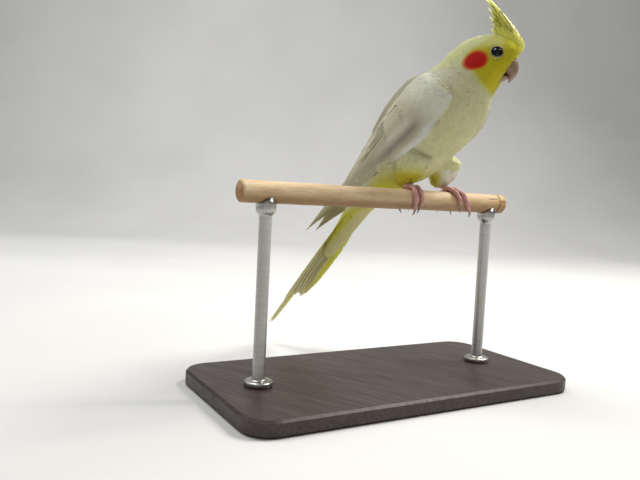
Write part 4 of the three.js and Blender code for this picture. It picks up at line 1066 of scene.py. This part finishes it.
def eye_material():
    mat, nt, b = nodes_of("eye_wet")
    at = node(nt, "ShaderNodeAttribute", attribute_name="Col")
    n = noise(nt, object_coords(nt), 1500.0, 4.0)
    c = blend(nt, "MULTIPLY", 0.5, at.outputs["Color"], ramp(nt, n, [(0.35, (0.5, 0.45, 0.42)), (0.7, (1, 1, 1))]))
    nt.links.new(c, b.inputs["Base Color"])
    b.inputs["Roughness"].default_value = 0.12
    b.inputs["Specular IOR Level"].default_value = 0.35
    return mat


def lid_material():
    mat, nt, b = nodes_of("eyelid_skin")
    at = node(nt, "ShaderNodeAttribute", attribute_name="Col")
    n = noise(nt, object_coords(nt), 1400.0, 4.0)
    c = blend(nt, "MULTIPLY", 0.6, at.outputs["Color"], ramp(nt, n, [(0.3, (0.78, 0.76, 0.72)), (0.7, (1, 1, 1))]))
    nt.links.new(c, b.inputs["Base Color"])
    b.inputs["Roughness"].default_value = 0.6
    b.inputs["Subsurface Weight"].default_value = 0.15
    b.inputs["Subsurface Radius"].default_value = (0.001, 0.0006, 0.0004)
    b.inputs["Subsurface Scale"].default_value = 1.0
    bump(nt, b, n, 0.00012, 0.7)
    return mat


EYE_MAT, LID_MAT = eye_material(), lid_material()
for side, sg in (("left", 1), ("right", -1)):
    centre_e = EYE * np.array([1, sg, 1])
    at_e, n_e = body_surface.at(turn(centre_e + np.array([0, sg * 4.0, 0]))[None])
    out = unit(unturn(at_e + n_e) - unturn(at_e))[0]
    rise = float((unturn(at_e)[0] - centre_e) @ out)
    print("eye", side, out.round(3), round(rise, 2))
    e1 = unit(np.cross(out, Z))
    e2 = np.cross(out, e1)
    ph = np.linspace(0, np.pi, 40)[:, None]
    th = np.linspace(0, 2 * np.pi, 48, endpoint=False)[None]
    rr = 4.5 + 0.12 * np.exp(-((ph / 0.55) ** 2))
    B = centre_e + rr[..., None] * (out * np.cos(ph)[..., None] + (e1 * np.cos(th)[..., None] + e2 * np.sin(th)[..., None]) * np.sin(ph)[..., None])
    pupil = lin(6, 5, 6) + 0 * B
    col = mix(pupil, lin(24, 14, 11), smooth((ph - 0.46) / 0.06) * np.ones_like(th))
    col = mix(col, lin(12, 9, 8), smooth((ph - 0.74) / 0.1) * np.ones_like(th))
    ball = lathe_tube(f"eyeball_{side}", turn(B), EYE_MAT, col.reshape(-1, 3))
    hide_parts("eye_" + side)
    pieces.append(ball)
    # lids: a folded ring from the ball out to the feathers
    prof = [(3.42, 2.7, 0.0), (3.46, 3.0, 0.0), (3.6, 3.2, 0.3), (3.8, 3.22, 1.0), (3.95, 3.02, 1.0), (4.12, 3.04, 1.0), (4.35, 2.80, 0.8), (4.7, 2.3, 0.3), (5.1, 1.4, 0.1), (4.6, 0.4, 0), (3.5, 1.6, 0)]
    ths = np.linspace(0, 2 * np.pi, 96, endpoint=False)
    R = []
    for rad, high, _ in prof:
        wob = 1 + 0.012 * np.sin(ths * 9 + rad * 3) + 0.05 * np.cos(ths * 2 + 0.4) * (rad < 4.5)
        hb = high + max(-0.6, min(0.9, rise + 0.1 - 2.9)) + 0.06 * np.sin(ths * 31 + rad * 5) * (rad > 3.4) * (rad < 4.6)
        R.append(centre_e + out * hb[:, None] + (e1 * np.cos(ths)[:, None] + e2 * np.sin(ths)[:, None]) * (rad * wob)[:, None])
    R = np.stack(R, 1)
    colr = np.broadcast_to(np.array([lin(30, 26, 22), lin(60, 56, 50), lin(100, 100, 88), lin(136, 138, 124), lin(112, 110, 90), lin(138, 134, 98), lin(168, 160, 66), lin(204, 196, 70), lin(204, 196, 60), lin(190, 180, 90), lin(90, 80, 70)])[None], (96, 11, 3))
    q = grid_faces(96, 11)
    idx = np.arange(96 * 11).reshape(96, 11)
    nx = np.roll(idx, -1, 0)
    q = np.stack([idx, nx, np.roll(nx, -1, 1), np.roll(idx, -1, 1)], -1).reshape(-1, 4)
    VV = turn(R).reshape(-1, 3)
    if volume_of(VV, q) < 0:
        q = q[:, ::-1]
    lid = new_mesh(f"eyelid_{side}", VV, [q], LID_MAT, colr.reshape(-1, 3))
    pieces.append(lid)

# ---------------------------------------------------------------- bill and cere
UPPER_BILL = [
    [45.4, 99.0, 37.6, 90.4, 5.4], [48.2, 98.4, 39.6, 88.4, 6.0], [50.4, 96.2, 41.6, 86.9, 5.9], [51.5, 93.0, 43.2, 86.1, 5.2],
    [51.8, 89.8, 44.6, 85.4, 4.4], [51.2, 86.9, 45.4, 84.4, 3.5], [49.8, 84.3, 45.7, 83.0, 2.5], [48.0, 82.2, 45.6, 81.8, 1.4],
    [46.3, 80.7, 45.5, 80.9, 0.5],
]
LOWER_BILL = [[38.8, 87.6, 36, 80.6, 4.6], [41.2, 86.4, 38.6, 80, 5], [43.4, 85.2, 41.2, 80.6, 4.3], [44.8, 84.4, 43.2, 81.6, 3.2], [45.6, 83.8, 44.6, 82.4, 1.8]]


def horn_material(name, rough=0.42):
    mat, nt, b = nodes_of(name)
    at = node(nt, "ShaderNodeAttribute", attribute_name="Col")
    mp = nt.nodes.new("ShaderNodeMapping")
    nt.links.new(object_coords(nt), mp.inputs[0])
    mp.inputs["Scale"].default_value = (1.0, 1.0, 0.35)
    n = noise(nt, mp.outputs[0], 1100.0, 5.0, 0.6)
    w = noise(nt, object_coords(nt), 260.0, 3.0)
    c = blend(nt, "MULTIPLY", 0.7, at.outputs["Color"], ramp(nt, n, [(0.3, (0.72, 0.69, 0.66)), (0.68, (1, 1, 1))]))
    c = blend(nt, "MULTIPLY", 0.5, c, ramp(nt, w, [(0.3, (0.82, 0.78, 0.76)), (0.7, (1, 1, 1))]))
    nt.links.new(c, b.inputs["Base Color"])
    nt.links.new(ramp(nt, n, [(0.2, (rough + 0.15,) * 3), (0.8, (rough - 0.05,) * 3)]), b.inputs["Roughness"])
    b.inputs["Subsurface Weight"].default_value = 0.08
    b.inputs["Subsurface Radius"].default_value = (0.001, 0.0006, 0.0004)
    b.inputs["Subsurface Scale"].default_value = 1.0
    bump(nt, b, n, 0.00008, 0.6)
    return mat


HORN = horn_material("bill_horn")
tt, aa = np.meshgrid(np.linspace(0, 8, 90), np.linspace(0, 2 * np.pi, 72, endpoint=False), indexing="ij")
U = bill_point(UPPER_BILL, tt, aa)
down = (1 - np.cos(aa)) / 2
cere = np.exp(-(((tt - 1.2) / 0.75) ** 2)) * smooth((np.cos(aa) - 0.05) / 0.5)
nrm = np.stack([np.cos(aa) * 0.7, np.sin(aa), np.cos(aa) * 0.5], -1)
U = U + nrm * (0.35 * cere + 0.05 * np.sin(tt * 19) * (1 - cere) * 0.5)[..., None]
nost = np.zeros_like(tt)
for sg in (1, -1):
    d = np.linalg.norm((U - np.array([49.3, sg * 3.3, 95.6])) * np.array([0.8, 1, 1.1]), axis=-1)
    nost = np.maximum(nost, 1 - smooth((d - 0.45) / 0.55))
U = U - nrm * (0.5 * nost)[..., None]
# the cutting edge, notched before the tip
U[..., 1] *= 1 - 0.10 * smooth((down - 0.8) / 0.2) * smooth((tt - 4) / 2)
col = mix(np.broadcast_to(lin(150, 122, 100), U.shape), lin(168, 142, 122), smooth((tt - 4) / 3))
col = mix(col, lin(128, 100, 88), smooth((down - 0.72) / 0.25) * 0.75)
col = mix(col, lin(166, 118, 100), np.minimum(1, cere * 1.2))
col = mix(col, lin(72, 34, 28), np.minimum(1, nost * 1.1))
upper = lathe_tube("bill_upper_horn", turn(U), HORN, np.clip(col, 0, 1).reshape(-1, 3))
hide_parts("bill_upper")
tt, aa = np.meshgrid(np.linspace(0, 4, 50), np.linspace(0, 2 * np.pi, 64, endpoint=False), indexing="ij")
Lw = bill_point(LOWER_BILL, tt, aa, 0.0, 0.9) + np.array([1.0, 0, 1.0]) * smooth(tt / 2.5)[..., None]
# painted shade: the top of the lower bill, inside the gape under the upper bill, is made dark brown
col = mix(np.broadcast_to(lin(150, 124, 108), Lw.shape), lin(64, 42, 36), smooth((np.cos(aa) - 0.1) / 0.4))
lower = lathe_tube("bill_lower_horn", turn(Lw), HORN, col.reshape(-1, 3))
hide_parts("bill_lower")
pieces += [upper, lower]

# ---------------------------------------------------------------- feet and claws
TOES = {
    "right": [
        ("front_outer", 1.9, [[-20.6, -24], [-22.4, 14], [-24.0, 54], [-23.8, 92], [-22.8, 128]], [[-22.4, 132], [-21.2, 154], [-20.0, 176]]),
        ("front_inner", 1.75, [[-20.4, -24], [-18.4, 14], [-18.4, 50], [-18.2, 84], [-18.4, 114]], [[-18.8, 118], [-19.2, 134], [-19.8, 150]]),
        ("back_outer", 1.7, [[-20.8, -18], [-23.6, -48], [-25.6, -84], [-26.2, -118]], [[-26.3, -122], [-26.4, -138], [-26.0, -156]]),
        ("back_inner", 1.5, [[-20.2, -18], [-18.0, -48], [-17.0, -80], [-16.8, -104]], [[-16.8, -108], [-17.0, -122], [-17.6, -138]]),
    ],
    "left": [
        ("front_outer", 1.9, [[12.9, -24], [16.0, 12], [19.6, 54], [22.4, 92], [26.0, 126]], [[26.6, 130], [29.4, 152], [31.4, 174]]),
        ("front_inner", 1.75, [[12.7, -24], [12.4, 10], [14.0, 42], [15.2, 74], [16.0, 100]], [[16.1, 104], [16.4, 120], [16.8, 136]]),
        ("back_outer", 1.7, [[13.2, -18], [16.8, -46], [19.4, -82], [20.2, -114]], [[20.3, -118], [20.4, -134], [20.0, -152]]),
        ("back_inner", 1.5, [[12.6, -18], [10.0, -48], [8.6, -80], [8.2, -104]], [[8.2, -108], [8.2, -122], [8.6, -138]]),
    ],
}
FEET_AT = {"right": -20.5, "left": 12.8}


def on_perch(along, angle, out):
    along, angle, out = np.broadcast_arrays(*(np.asarray(v, float) for v in (along, angle, out)))
    r = np.radians(angle)
    return PD * along[..., None] + PF * (out * np.sin(r))[..., None] + Z * (out * np.cos(r))[..., None]


def tube(centre, radii, side, m=20, flat=0.92):
    tan = unit(np.gradient(centre, axis=0))
    sv = unit(side - tan * (tan @ side)[:, None])
    up = np.cross(sv, tan)
    th = np.linspace(0, 2 * np.pi, m, endpoint=False)
    return centre[:, None] + radii[:, None, None] * (sv[:, None] * np.cos(th)[None, :, None] + flat * up[:, None] * np.sin(th)[None, :, None])


def foot_material():
    mat, nt, b = nodes_of("foot_scales")
    at = node(nt, "ShaderNodeAttribute", attribute_name="Col")
    vor = nt.nodes.new("ShaderNodeTexVoronoi")
    vor.feature = "DISTANCE_TO_EDGE"
    vor.inputs["Scale"].default_value = 1500.0
    nt.links.new(object_coords(nt), vor.inputs["Vector"])
    n = noise(nt, object_coords(nt), 500.0, 4.0)
    c = blend(nt, "MULTIPLY", 0.8, at.outputs["Color"], ramp(nt, vor.outputs["Distance"], [(0.0, (0.62, 0.52, 0.52)), (0.22, (1, 1, 1))]))
    c = blend(nt, "MULTIPLY", 0.5, c, ramp(nt, n, [(0.3, (0.8, 0.68, 0.66)), (0.7, (1, 1, 1))]))
    nt.links.new(c, b.inputs["Base Color"])
    b.inputs["Roughness"].default_value = 0.55
    b.inputs["Subsurface Weight"].default_value = 0.2
    b.inputs["Subsurface Radius"].default_value = (0.0016, 0.0008, 0.0005)
    b.inputs["Subsurface Scale"].default_value = 1.0
    bump(nt, b, vor.outputs["Distance"], 0.00025, 0.8)
    return mat


FOOT_MAT, CLAW_MAT = foot_material(), horn_material("claw_horn", 0.35)
for side in ("right", "left"):
    shells, marks = [], []
    heel, ball = HEEL[side], on_perch(FEET_AT[side], -14, PERCH_R + GAP + 2.0)
    knots = np.array([heel + (ball - heel) * f for f in (0.02, 0.4, 0.75, 1.0)] + [ball + unit(ball - heel) * 1.6])
    knots[1, 2] += 0.2
    c = rows(knots, np.linspace(0, 4, 40))
    rad = np.interp(np.linspace(0, 1, 40), [0, 0.25, 0.5, 0.8, 1], [2.1, 1.85, 2.1, 2.5, 2.0])
    shells.append(tube(c, rad, PD))
    marks.append(c)
    for name, r0, path, claw in TOES[side]:
        nseg = len(path) - 1
        tt = np.linspace(0, nseg, 60)
        pa = rows(path, tt)
        kx = tt / nseg
        rad = r0 * (1 - 0.26 * kx + 0.1 * np.cos(kx * nseg * 2 * np.pi))
        c = on_perch(pa[:, 0], pa[:, 1], PERCH_R + GAP + rad * 0.84 + 0.1)
        # plates across the toe's upper side, as rings
        ring = np.abs(np.sin(np.cumsum(np.concatenate([[0], np.linalg.norm(np.diff(c, axis=0), axis=1)])) * np.pi / 1.15)) ** 0.5
        shells.append(tube(c, rad * (1.0 + 0.06 * ring), PD))
        marks.append(c)
    V, F, at = [], [], 0
    for S in shells:
        n, m, _ = S.shape
        vv, q = S.reshape(-1, 3), grid_faces(n, m)
        caps = [np.arange(m)[None], (np.arange(m) + (n - 1) * m)[::-1][None]]
        if volume_of(vv, q) < 0:
            q, caps = q[:, ::-1], [x[:, ::-1] for x in caps]
        V.append(vv)
        F += [q + at, caps[0] + at, caps[1] + at]
        at += len(vv)
    blank = new_mesh("foot_blank", np.concatenate(V), F, FOOT_MAT)
    rem = blank.modifiers.new("join", "REMESH")
    rem.mode, rem.voxel_size = "VOXEL", 0.00028
    sm = blank.modifiers.new("soft", "SMOOTH")
    sm.factor, sm.iterations = 0.5, 2
    me = bpy.data.meshes.new_from_object(blank.evaluated_get(bpy.context.evaluated_depsgraph_get()))
    bpy.data.objects.remove(blank)
    co = np.empty(len(me.vertices) * 3)
    me.vertices.foreach_get("co", co)
    co = co.reshape(-1, 3) * 1000 - LIFT
    # never inside the perch
    al = co @ PD
    rad_v = co - al[:, None] * PD
    dist = np.linalg.norm(rad_v, axis=1)
    push = np.maximum(dist, PERCH_R + 0.03)
    co = al[:, None] * PD + rad_v / dist[:, None] * push[:, None]
    me.vertices.foreach_set("co", put(co).ravel())
    # painted shade: darker where the toes lie against the perch; painted light: lighter on the toes' tops and the legs,
    # away from it
    pink = mix(np.broadcast_to(lin(222, 168, 162), co.shape), lin(186, 122, 118), smooth((PERCH_R + 1.6 - dist) / 1.6))
    pink = mix(pink, lin(230, 192, 184), smooth((dist - PERCH_R - 2.6) / 1.5) * 0.7)
    att = me.color_attributes.new("Col", "FLOAT_COLOR", "POINT")
    att.data.foreach_set("color", np.concatenate([pink, np.ones((len(co), 1))], 1).astype(np.float32).ravel())
    me.polygons.foreach_set("use_smooth", np.ones(len(me.polygons), bool))
    me.materials.clear()
    me.materials.append(FOOT_MAT)
    foot = bpy.data.objects.new(f"foot_skin_{side}", me)
    scene.collection.objects.link(foot)
    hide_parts("foot_" + side)
    pieces.append(foot)
    for name, r0, path, claw in TOES[side]:
        tt = np.linspace(0, len(claw) - 1, 24)
        kx = tt / (len(claw) - 1)
        pa = rows(claw, tt)
        c = on_perch(pa[:, 0], pa[:, 1], PERCH_R + GAP + r0 * 0.78 + 2.2 * kx * kx)
        c = np.concatenate([(c[0] - (c[1] - c[0]) * 3)[None], c])
        rad = np.concatenate([[r0 * 0.5], lerp(r0 * 0.62, 0.14, kx**1.25)])
        T = tube(c, rad, PD, 20, 1.05)
        kcol = np.concatenate([[0], kx])
        colc = mix(np.broadcast_to(lin(190, 158, 150), (len(c), 3)), lin(136, 112, 106), smooth(kcol * 1.4))
        cl = lathe_tube(f"claw_{side}_{name}_horn", T, CLAW_MAT, np.repeat(colc[:, None], 20, 1).reshape(-1, 3))
        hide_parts(f"claw_{side}_{name}")
        pieces.append(cl)


# ---------------------------------------------------------------- perch
def perch_material():
    mat, nt, b = nodes_of("perch_bare_wood")
    at = node(nt, "ShaderNodeAttribute", attribute_name="Col")
    uv = nt.nodes.new("ShaderNodeUVMap")
    uv.uv_map = "Grain"
    mp = nt.nodes.new("ShaderNodeMapping")
    nt.links.new(uv.outputs[0], mp.inputs[0])
    mp.inputs["Scale"].default_value = (1.0, 0.07, 1.0)
    fib = noise(nt, mp.outputs[0], 1.6, 6.0, 0.65)
    mp2 = nt.nodes.new("ShaderNodeMapping")
    nt.links.new(uv.outputs[0], mp2.inputs[0])
    mp2.inputs["Scale"].default_value = (1.0, 0.16, 1.0)
    broad = noise(nt, mp2.outputs[0], 0.22, 3.0)
    pores = noise(nt, mp.outputs[0], 5.0, 2.0)
    c = blend(nt, "MULTIPLY", 0.75, at.outputs["Color"], ramp(nt, fib, [(0.25, (0.62, 0.48, 0.34)), (0.5, (0.92, 0.88, 0.82)), (0.75, (1, 1, 1))]))
    c = blend(nt, "MULTIPLY", 0.7, c, ramp(nt, broad, [(0.3, (0.76, 0.66, 0.54)), (0.65, (1, 1, 1))]))
    c = blend(nt, "MULTIPLY", 0.5, c, ramp(nt, pores, [(0.28, (0.6, 0.5, 0.4)), (0.38, (1, 1, 1))]))
    nt.links.new(c, b.inputs["Base Color"])
    nt.links.new(ramp(nt, fib, [(0.2, (0.72,) * 3), (0.8, (0.5,) * 3)]), b.inputs["Roughness"])
    bump(nt, b, sums(nt, "ADD", fib, sums(nt, "MULTIPLY", pores, 0.6)), 0.00022, 0.7)
    return mat


n, m = 330, 120
sp = np.concatenate([[-150, -150], np.linspace(-149.9, 64.9, n), [65, 65]])
rp = np.full(len(sp), PERCH_R)
rp = np.minimum(rp, PERCH_R - 1.9 * smooth((sp - 62.6) / 2.4) ** 1.3)
rp = np.minimum(rp, PERCH_R - 0.9 * smooth((-149.1 - sp) / 0.9))
rp[0], rp[1], rp[-2], rp[-1] = 0.4, PERCH_R - 1.0, PERCH_R - 2.2, 0.4
ang = np.linspace(0, 2 * np.pi, m, endpoint=False)
S, A2 = np.meshgrid(sp, ang, indexing="ij")
R = rp[:, None] * np.ones(m)[None]
wav = 0.05 * np.sin(S * 0.11 + 2 * A2) + 0.035 * np.sin(S * 0.37 + 5 * A2 + 1) - 0.08
crack = np.zeros_like(S)
ringline = np.abs(S - 57.0 - 0.5 * np.sin(A2 * 2 + 0.6) - 0.25 * np.sin(A2 * 5))
crack = np.maximum(crack, np.exp(-((ringline / 0.6) ** 2)) * (0.75 + 0.25 * np.sin(A2 * 3)))
for s_a, s_b, a0, depth, wdt in ((44, 57, 1.05, 0.8, 0.045), (36, 56, 0.35, 0.5, 0.035), (57, 65, 1.35, 0.7, 0.05), (57.5, 65, 0.2, 0.6, 0.04), (-62, -50, 0.15, 0.5, 0.03), (-20, -2, 2.9, 0.4, 0.03), (-124, -96, 1.1, 0.4, 0.025), (60, 65, 2.4, 0.5, 0.05)):
    on = smooth((S - s_a) / 3) * smooth((s_b - S) / 3)
    d = np.angle(np.exp(1j * (A2 - a0 - 0.03 * np.sin(S * 0.8))))
    crack = np.maximum(crack, depth * on * np.exp(-((d / wdt) ** 2)))
inside = np.ones_like(S)
inside[[0, 1, -2, -1]] = 0
R = R + (wav - 0.5 * crack) * inside
# front is angle 90 degrees round from the top
P = PD * S[..., None] + PF * (R * np.sin(A2))[..., None] + Z * (R * np.cos(A2))[..., None]
wood = mix(np.broadcast_to(lin(236, 212, 174), P.shape), lin(226, 192, 140), smooth((S + 20) / 90) * 0.9)
wood = mix(wood, lin(214, 168, 104), smooth((S - 50) / 12) * 0.7)
# painted shade: darker on the underside, away from the light above
wood = mix(wood, lin(150, 112, 70), smooth((0.15 - np.cos(A2)) / 0.8) * 0.75)
wood = mix(wood, lin(66, 42, 22), np.minimum(1, crack * 1.3) * inside)
wood = mix(wood, lin(184, 140, 88), 1 - inside)
# painted light: the top is lighter where the light falls, fading out towards the right end
wood = mix(wood, lin(236, 210, 170), smooth((np.cos(A2) - 0.35) / 0.6) * 0.45 * (1 - smooth((S - 40) / 16)))
grain = np.stack([A2 * PERCH_R, S], -1).reshape(-1, 2)
perch = lathe_tube("perch_dowel", P, perch_material(), np.clip(wood, 0, 1).reshape(-1, 3), {"Grain": grain})
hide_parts("perch")
pieces.append(perch)


# ---------------------------------------------------------------- stand
def base_material():
    mat, nt, b = nodes_of("base_dark_wood")
    mp = nt.nodes.new("ShaderNodeMapping")
    nt.links.new(object_coords(nt), mp.inputs[0])
    mp.inputs["Rotation"].default_value = (0, 0, -math.radians(67))
    mp.inputs["Scale"].default_value = (0.06, 1.0, 1.0)
    g1 = noise(nt, mp.outputs[0], 420.0, 6.0, 0.65)
    g2 = noise(nt, mp.outputs[0], 70.0, 3.0)
    c = ramp(nt, g1, [(0.3, tuple(lin(40, 32, 28))), (0.7, tuple(lin(76, 62, 54)))])
    c = blend(nt, "MULTIPLY", 0.6, c, ramp(nt, g2, [(0.3, (0.7, 0.66, 0.62)), (0.7, (1, 1, 1))]))
    nt.links.new(c, b.inputs["Base Color"])
    nt.links.new(ramp(nt, g1, [(0.3, (0.5,) * 3), (0.7, (0.34,) * 3)]), b.inputs["Roughness"])
    bump(nt, b, g1, 0.00015, 0.5)
    return mat


def steel_material():
    mat, nt, b = nodes_of("rod_brushed_steel")
    mp = nt.nodes.new("ShaderNodeMapping")
    nt.links.new(object_coords(nt), mp.inputs[0])
    mp.inputs["Scale"].default_value = (1.0, 1.0, 40.0)
    g1 = noise(nt, mp.outputs[0], 60.0, 4.0)
    c = ramp(nt, g1, [(0.3, tuple(lin(172, 170, 166))), (0.7, tuple(lin(186, 184, 180)))])
    nt.links.new(c, b.inputs["Base Color"])
    b.inputs["Metallic"].default_value = 1.0
    nt.links.new(ramp(nt, g1, [(0.3, (0.42,) * 3), (0.7, (0.28,) * 3)]), b.inputs["Roughness"])
    bump(nt, b, g1, 0.00002, 0.2)
    return mat


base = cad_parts["stand_base"]
for i in range(max(1, len(base.material_slots))):
    if base.material_slots:
        base.material_slots[i].material = base_material()
STEEL = steel_material()
ROD = [(0.05, 0), (8.75, 0), (9, 0.25), (9, 2.0), (8.9, 2.4), (8.2, 3.0), (6.4, 3.25), (4.9, 3.5), (4.25, 4.2), (4, 5.2), (4, 50), (4, 104.5), (4.3, 105.6), (5.6, 107), (6.15, 108), (6.3, 110), (6.4, 112.5), (6.5, 116.6)]
for i, at_s in enumerate((-132, 50)):
    prof = np.array(ROD, float)
    th = np.linspace(0, 2 * np.pi, 64, endpoint=False)
    r2, z2 = prof[:, 0][:, None], prof[:, 1][:, None]
    c0 = PD * at_s
    P = np.stack([c0[0] + r2 * np.cos(th), c0[1] + r2 * np.sin(th), np.broadcast_to(z2 - 119.7, (len(prof), 64))], -1)
    # the saddle follows the perch's underside
    last = P[-1]
    topring = []
    for f in (1.0, 0.75, 0.5, 0.25, 0.02):
        rr = c0 + (last - c0) * np.array([f, f, 1])
        across = np.abs((rr - c0) @ PF)
        rr[:, 2] = -np.sqrt(np.maximum((PERCH_R + 0.22) ** 2 - across**2, 0.2))
        topring.append(rr)
    P = np.concatenate([P[:-1], np.stack(topring)])
    rod = lathe_tube(f"stand_rod_{i + 1}_smooth", P, STEEL)
    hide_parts(f"stand_rod_{i + 1}")
    pieces.append(rod)

# ---------------------------------------------------------------- which piece stands for what
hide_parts("head", "neck", "trunk", "leg_right", "leg_left", "wing_right", "wing_left")
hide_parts("tail")
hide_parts("crest")
for ob in pieces:
    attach(ob, "root")

# ---------------------------------------------------------------- floor, light, camera
fm, nt, b = nodes_of("pale_floor")
nn2 = noise(nt, object_coords(nt), 3.0, 2.0)
nt.links.new(ramp(nt, nn2, [(0.3, (0.64, 0.635, 0.62)), (0.7, (0.70, 0.695, 0.68))]), b.inputs["Base Color"])
b.inputs["Roughness"].default_value = 0.9
prof = [(-2.5, 0.0), (1.2, 0.0)] + [(1.2 + 0.8 * math.sin(x), 0.8 - 0.8 * math.cos(x)) for x in np.linspace(0.1, math.pi / 2, 14)] + [(2.0, 3.5)]
view_dir = np.array([-0.6017, 0.7987, 0])
side_dir = np.array([0.7987, 0.6017, 0])
Vf = np.array([side_dir * w + view_dir * d + Z * h for d, h in prof for w in (-4.0, 4.0)])
Vf = Vf * 1000 - LIFT
Ff = np.array([[2 * i, 2 * i + 1, 2 * i + 3, 2 * i + 2] for i in range(len(prof) - 1)])
floor = new_mesh("floor", Vf, [Ff], fm)

world = bpy.data.worlds.new("studio")
world.use_nodes = True
bg = world.node_tree.nodes["Background"]
bg.inputs[0].default_value = (0.93, 0.95, 1.0, 1)
bg.inputs[1].default_value = 0.2
scene.world = world


def area(name, loc, aim, size, power, colour=(1, 1, 1)):
    li = bpy.data.lights.new(name, "AREA")
    li.shape = "RECTANGLE"
    li.size, li.size_y = size
    li.energy = power
    li.color = colour
    ob = bpy.data.objects.new(name, li)
    scene.collection.objects.link(ob)
    ob.location = loc
    ob.rotation_euler = (Vector(aim) - Vector(loc)).to_track_quat("-Z", "Y").to_euler()


area("key", (0.42, 0.72, 1.15), (0, 0, 0.2), (0.55, 0.55), 22.0, (1.0, 0.985, 0.94))
area("left_soft", (-0.9, -0.5, 0.9), (0, 0, 0.18), (0.9, 0.9), 1.6, (0.97, 0.98, 1.0))
area("top_soft", (-0.35, -0.15, 1.35), (0, 0, 0.22), (0.5, 0.5), 6.0, (1.0, 0.99, 0.96))
area("backdrop", (-0.9, 0.1, 1.6), (-1.1, 1.5, 0.4), (1.2, 1.2), 13.0)
area("front_soft", (0.7, -1.0, 0.55), (0, 0, 0.18), (1.0, 1.0), 0.9, (1.0, 0.98, 0.95))

cam_data = bpy.data.cameras.new("camera")
cam_data.sensor_width = 36.0
cam_data.lens = 36.0
cam = bpy.data.objects.new("camera", cam_data)
scene.collection.objects.link(cam)
right, up = Vector((0.795801, 0.603451, 0.050479)), Vector((-0.080753, 0.023139, 0.996466))
back = right.cross(up).normalized()
m3 = Matrix((right, up, back)).transposed().to_4x4()
m3.translation = Vector((0.21066, -0.413444, 0.1287))
cam.matrix_world = m3
cam_data.clip_start = 0.01
scene.camera = cam
scene.view_settings.view_transform = "Standard"
scene.view_settings.look = "None"

print("triangles", sum(len(o.data.polygons) for o in pieces if o.type == "MESH"))
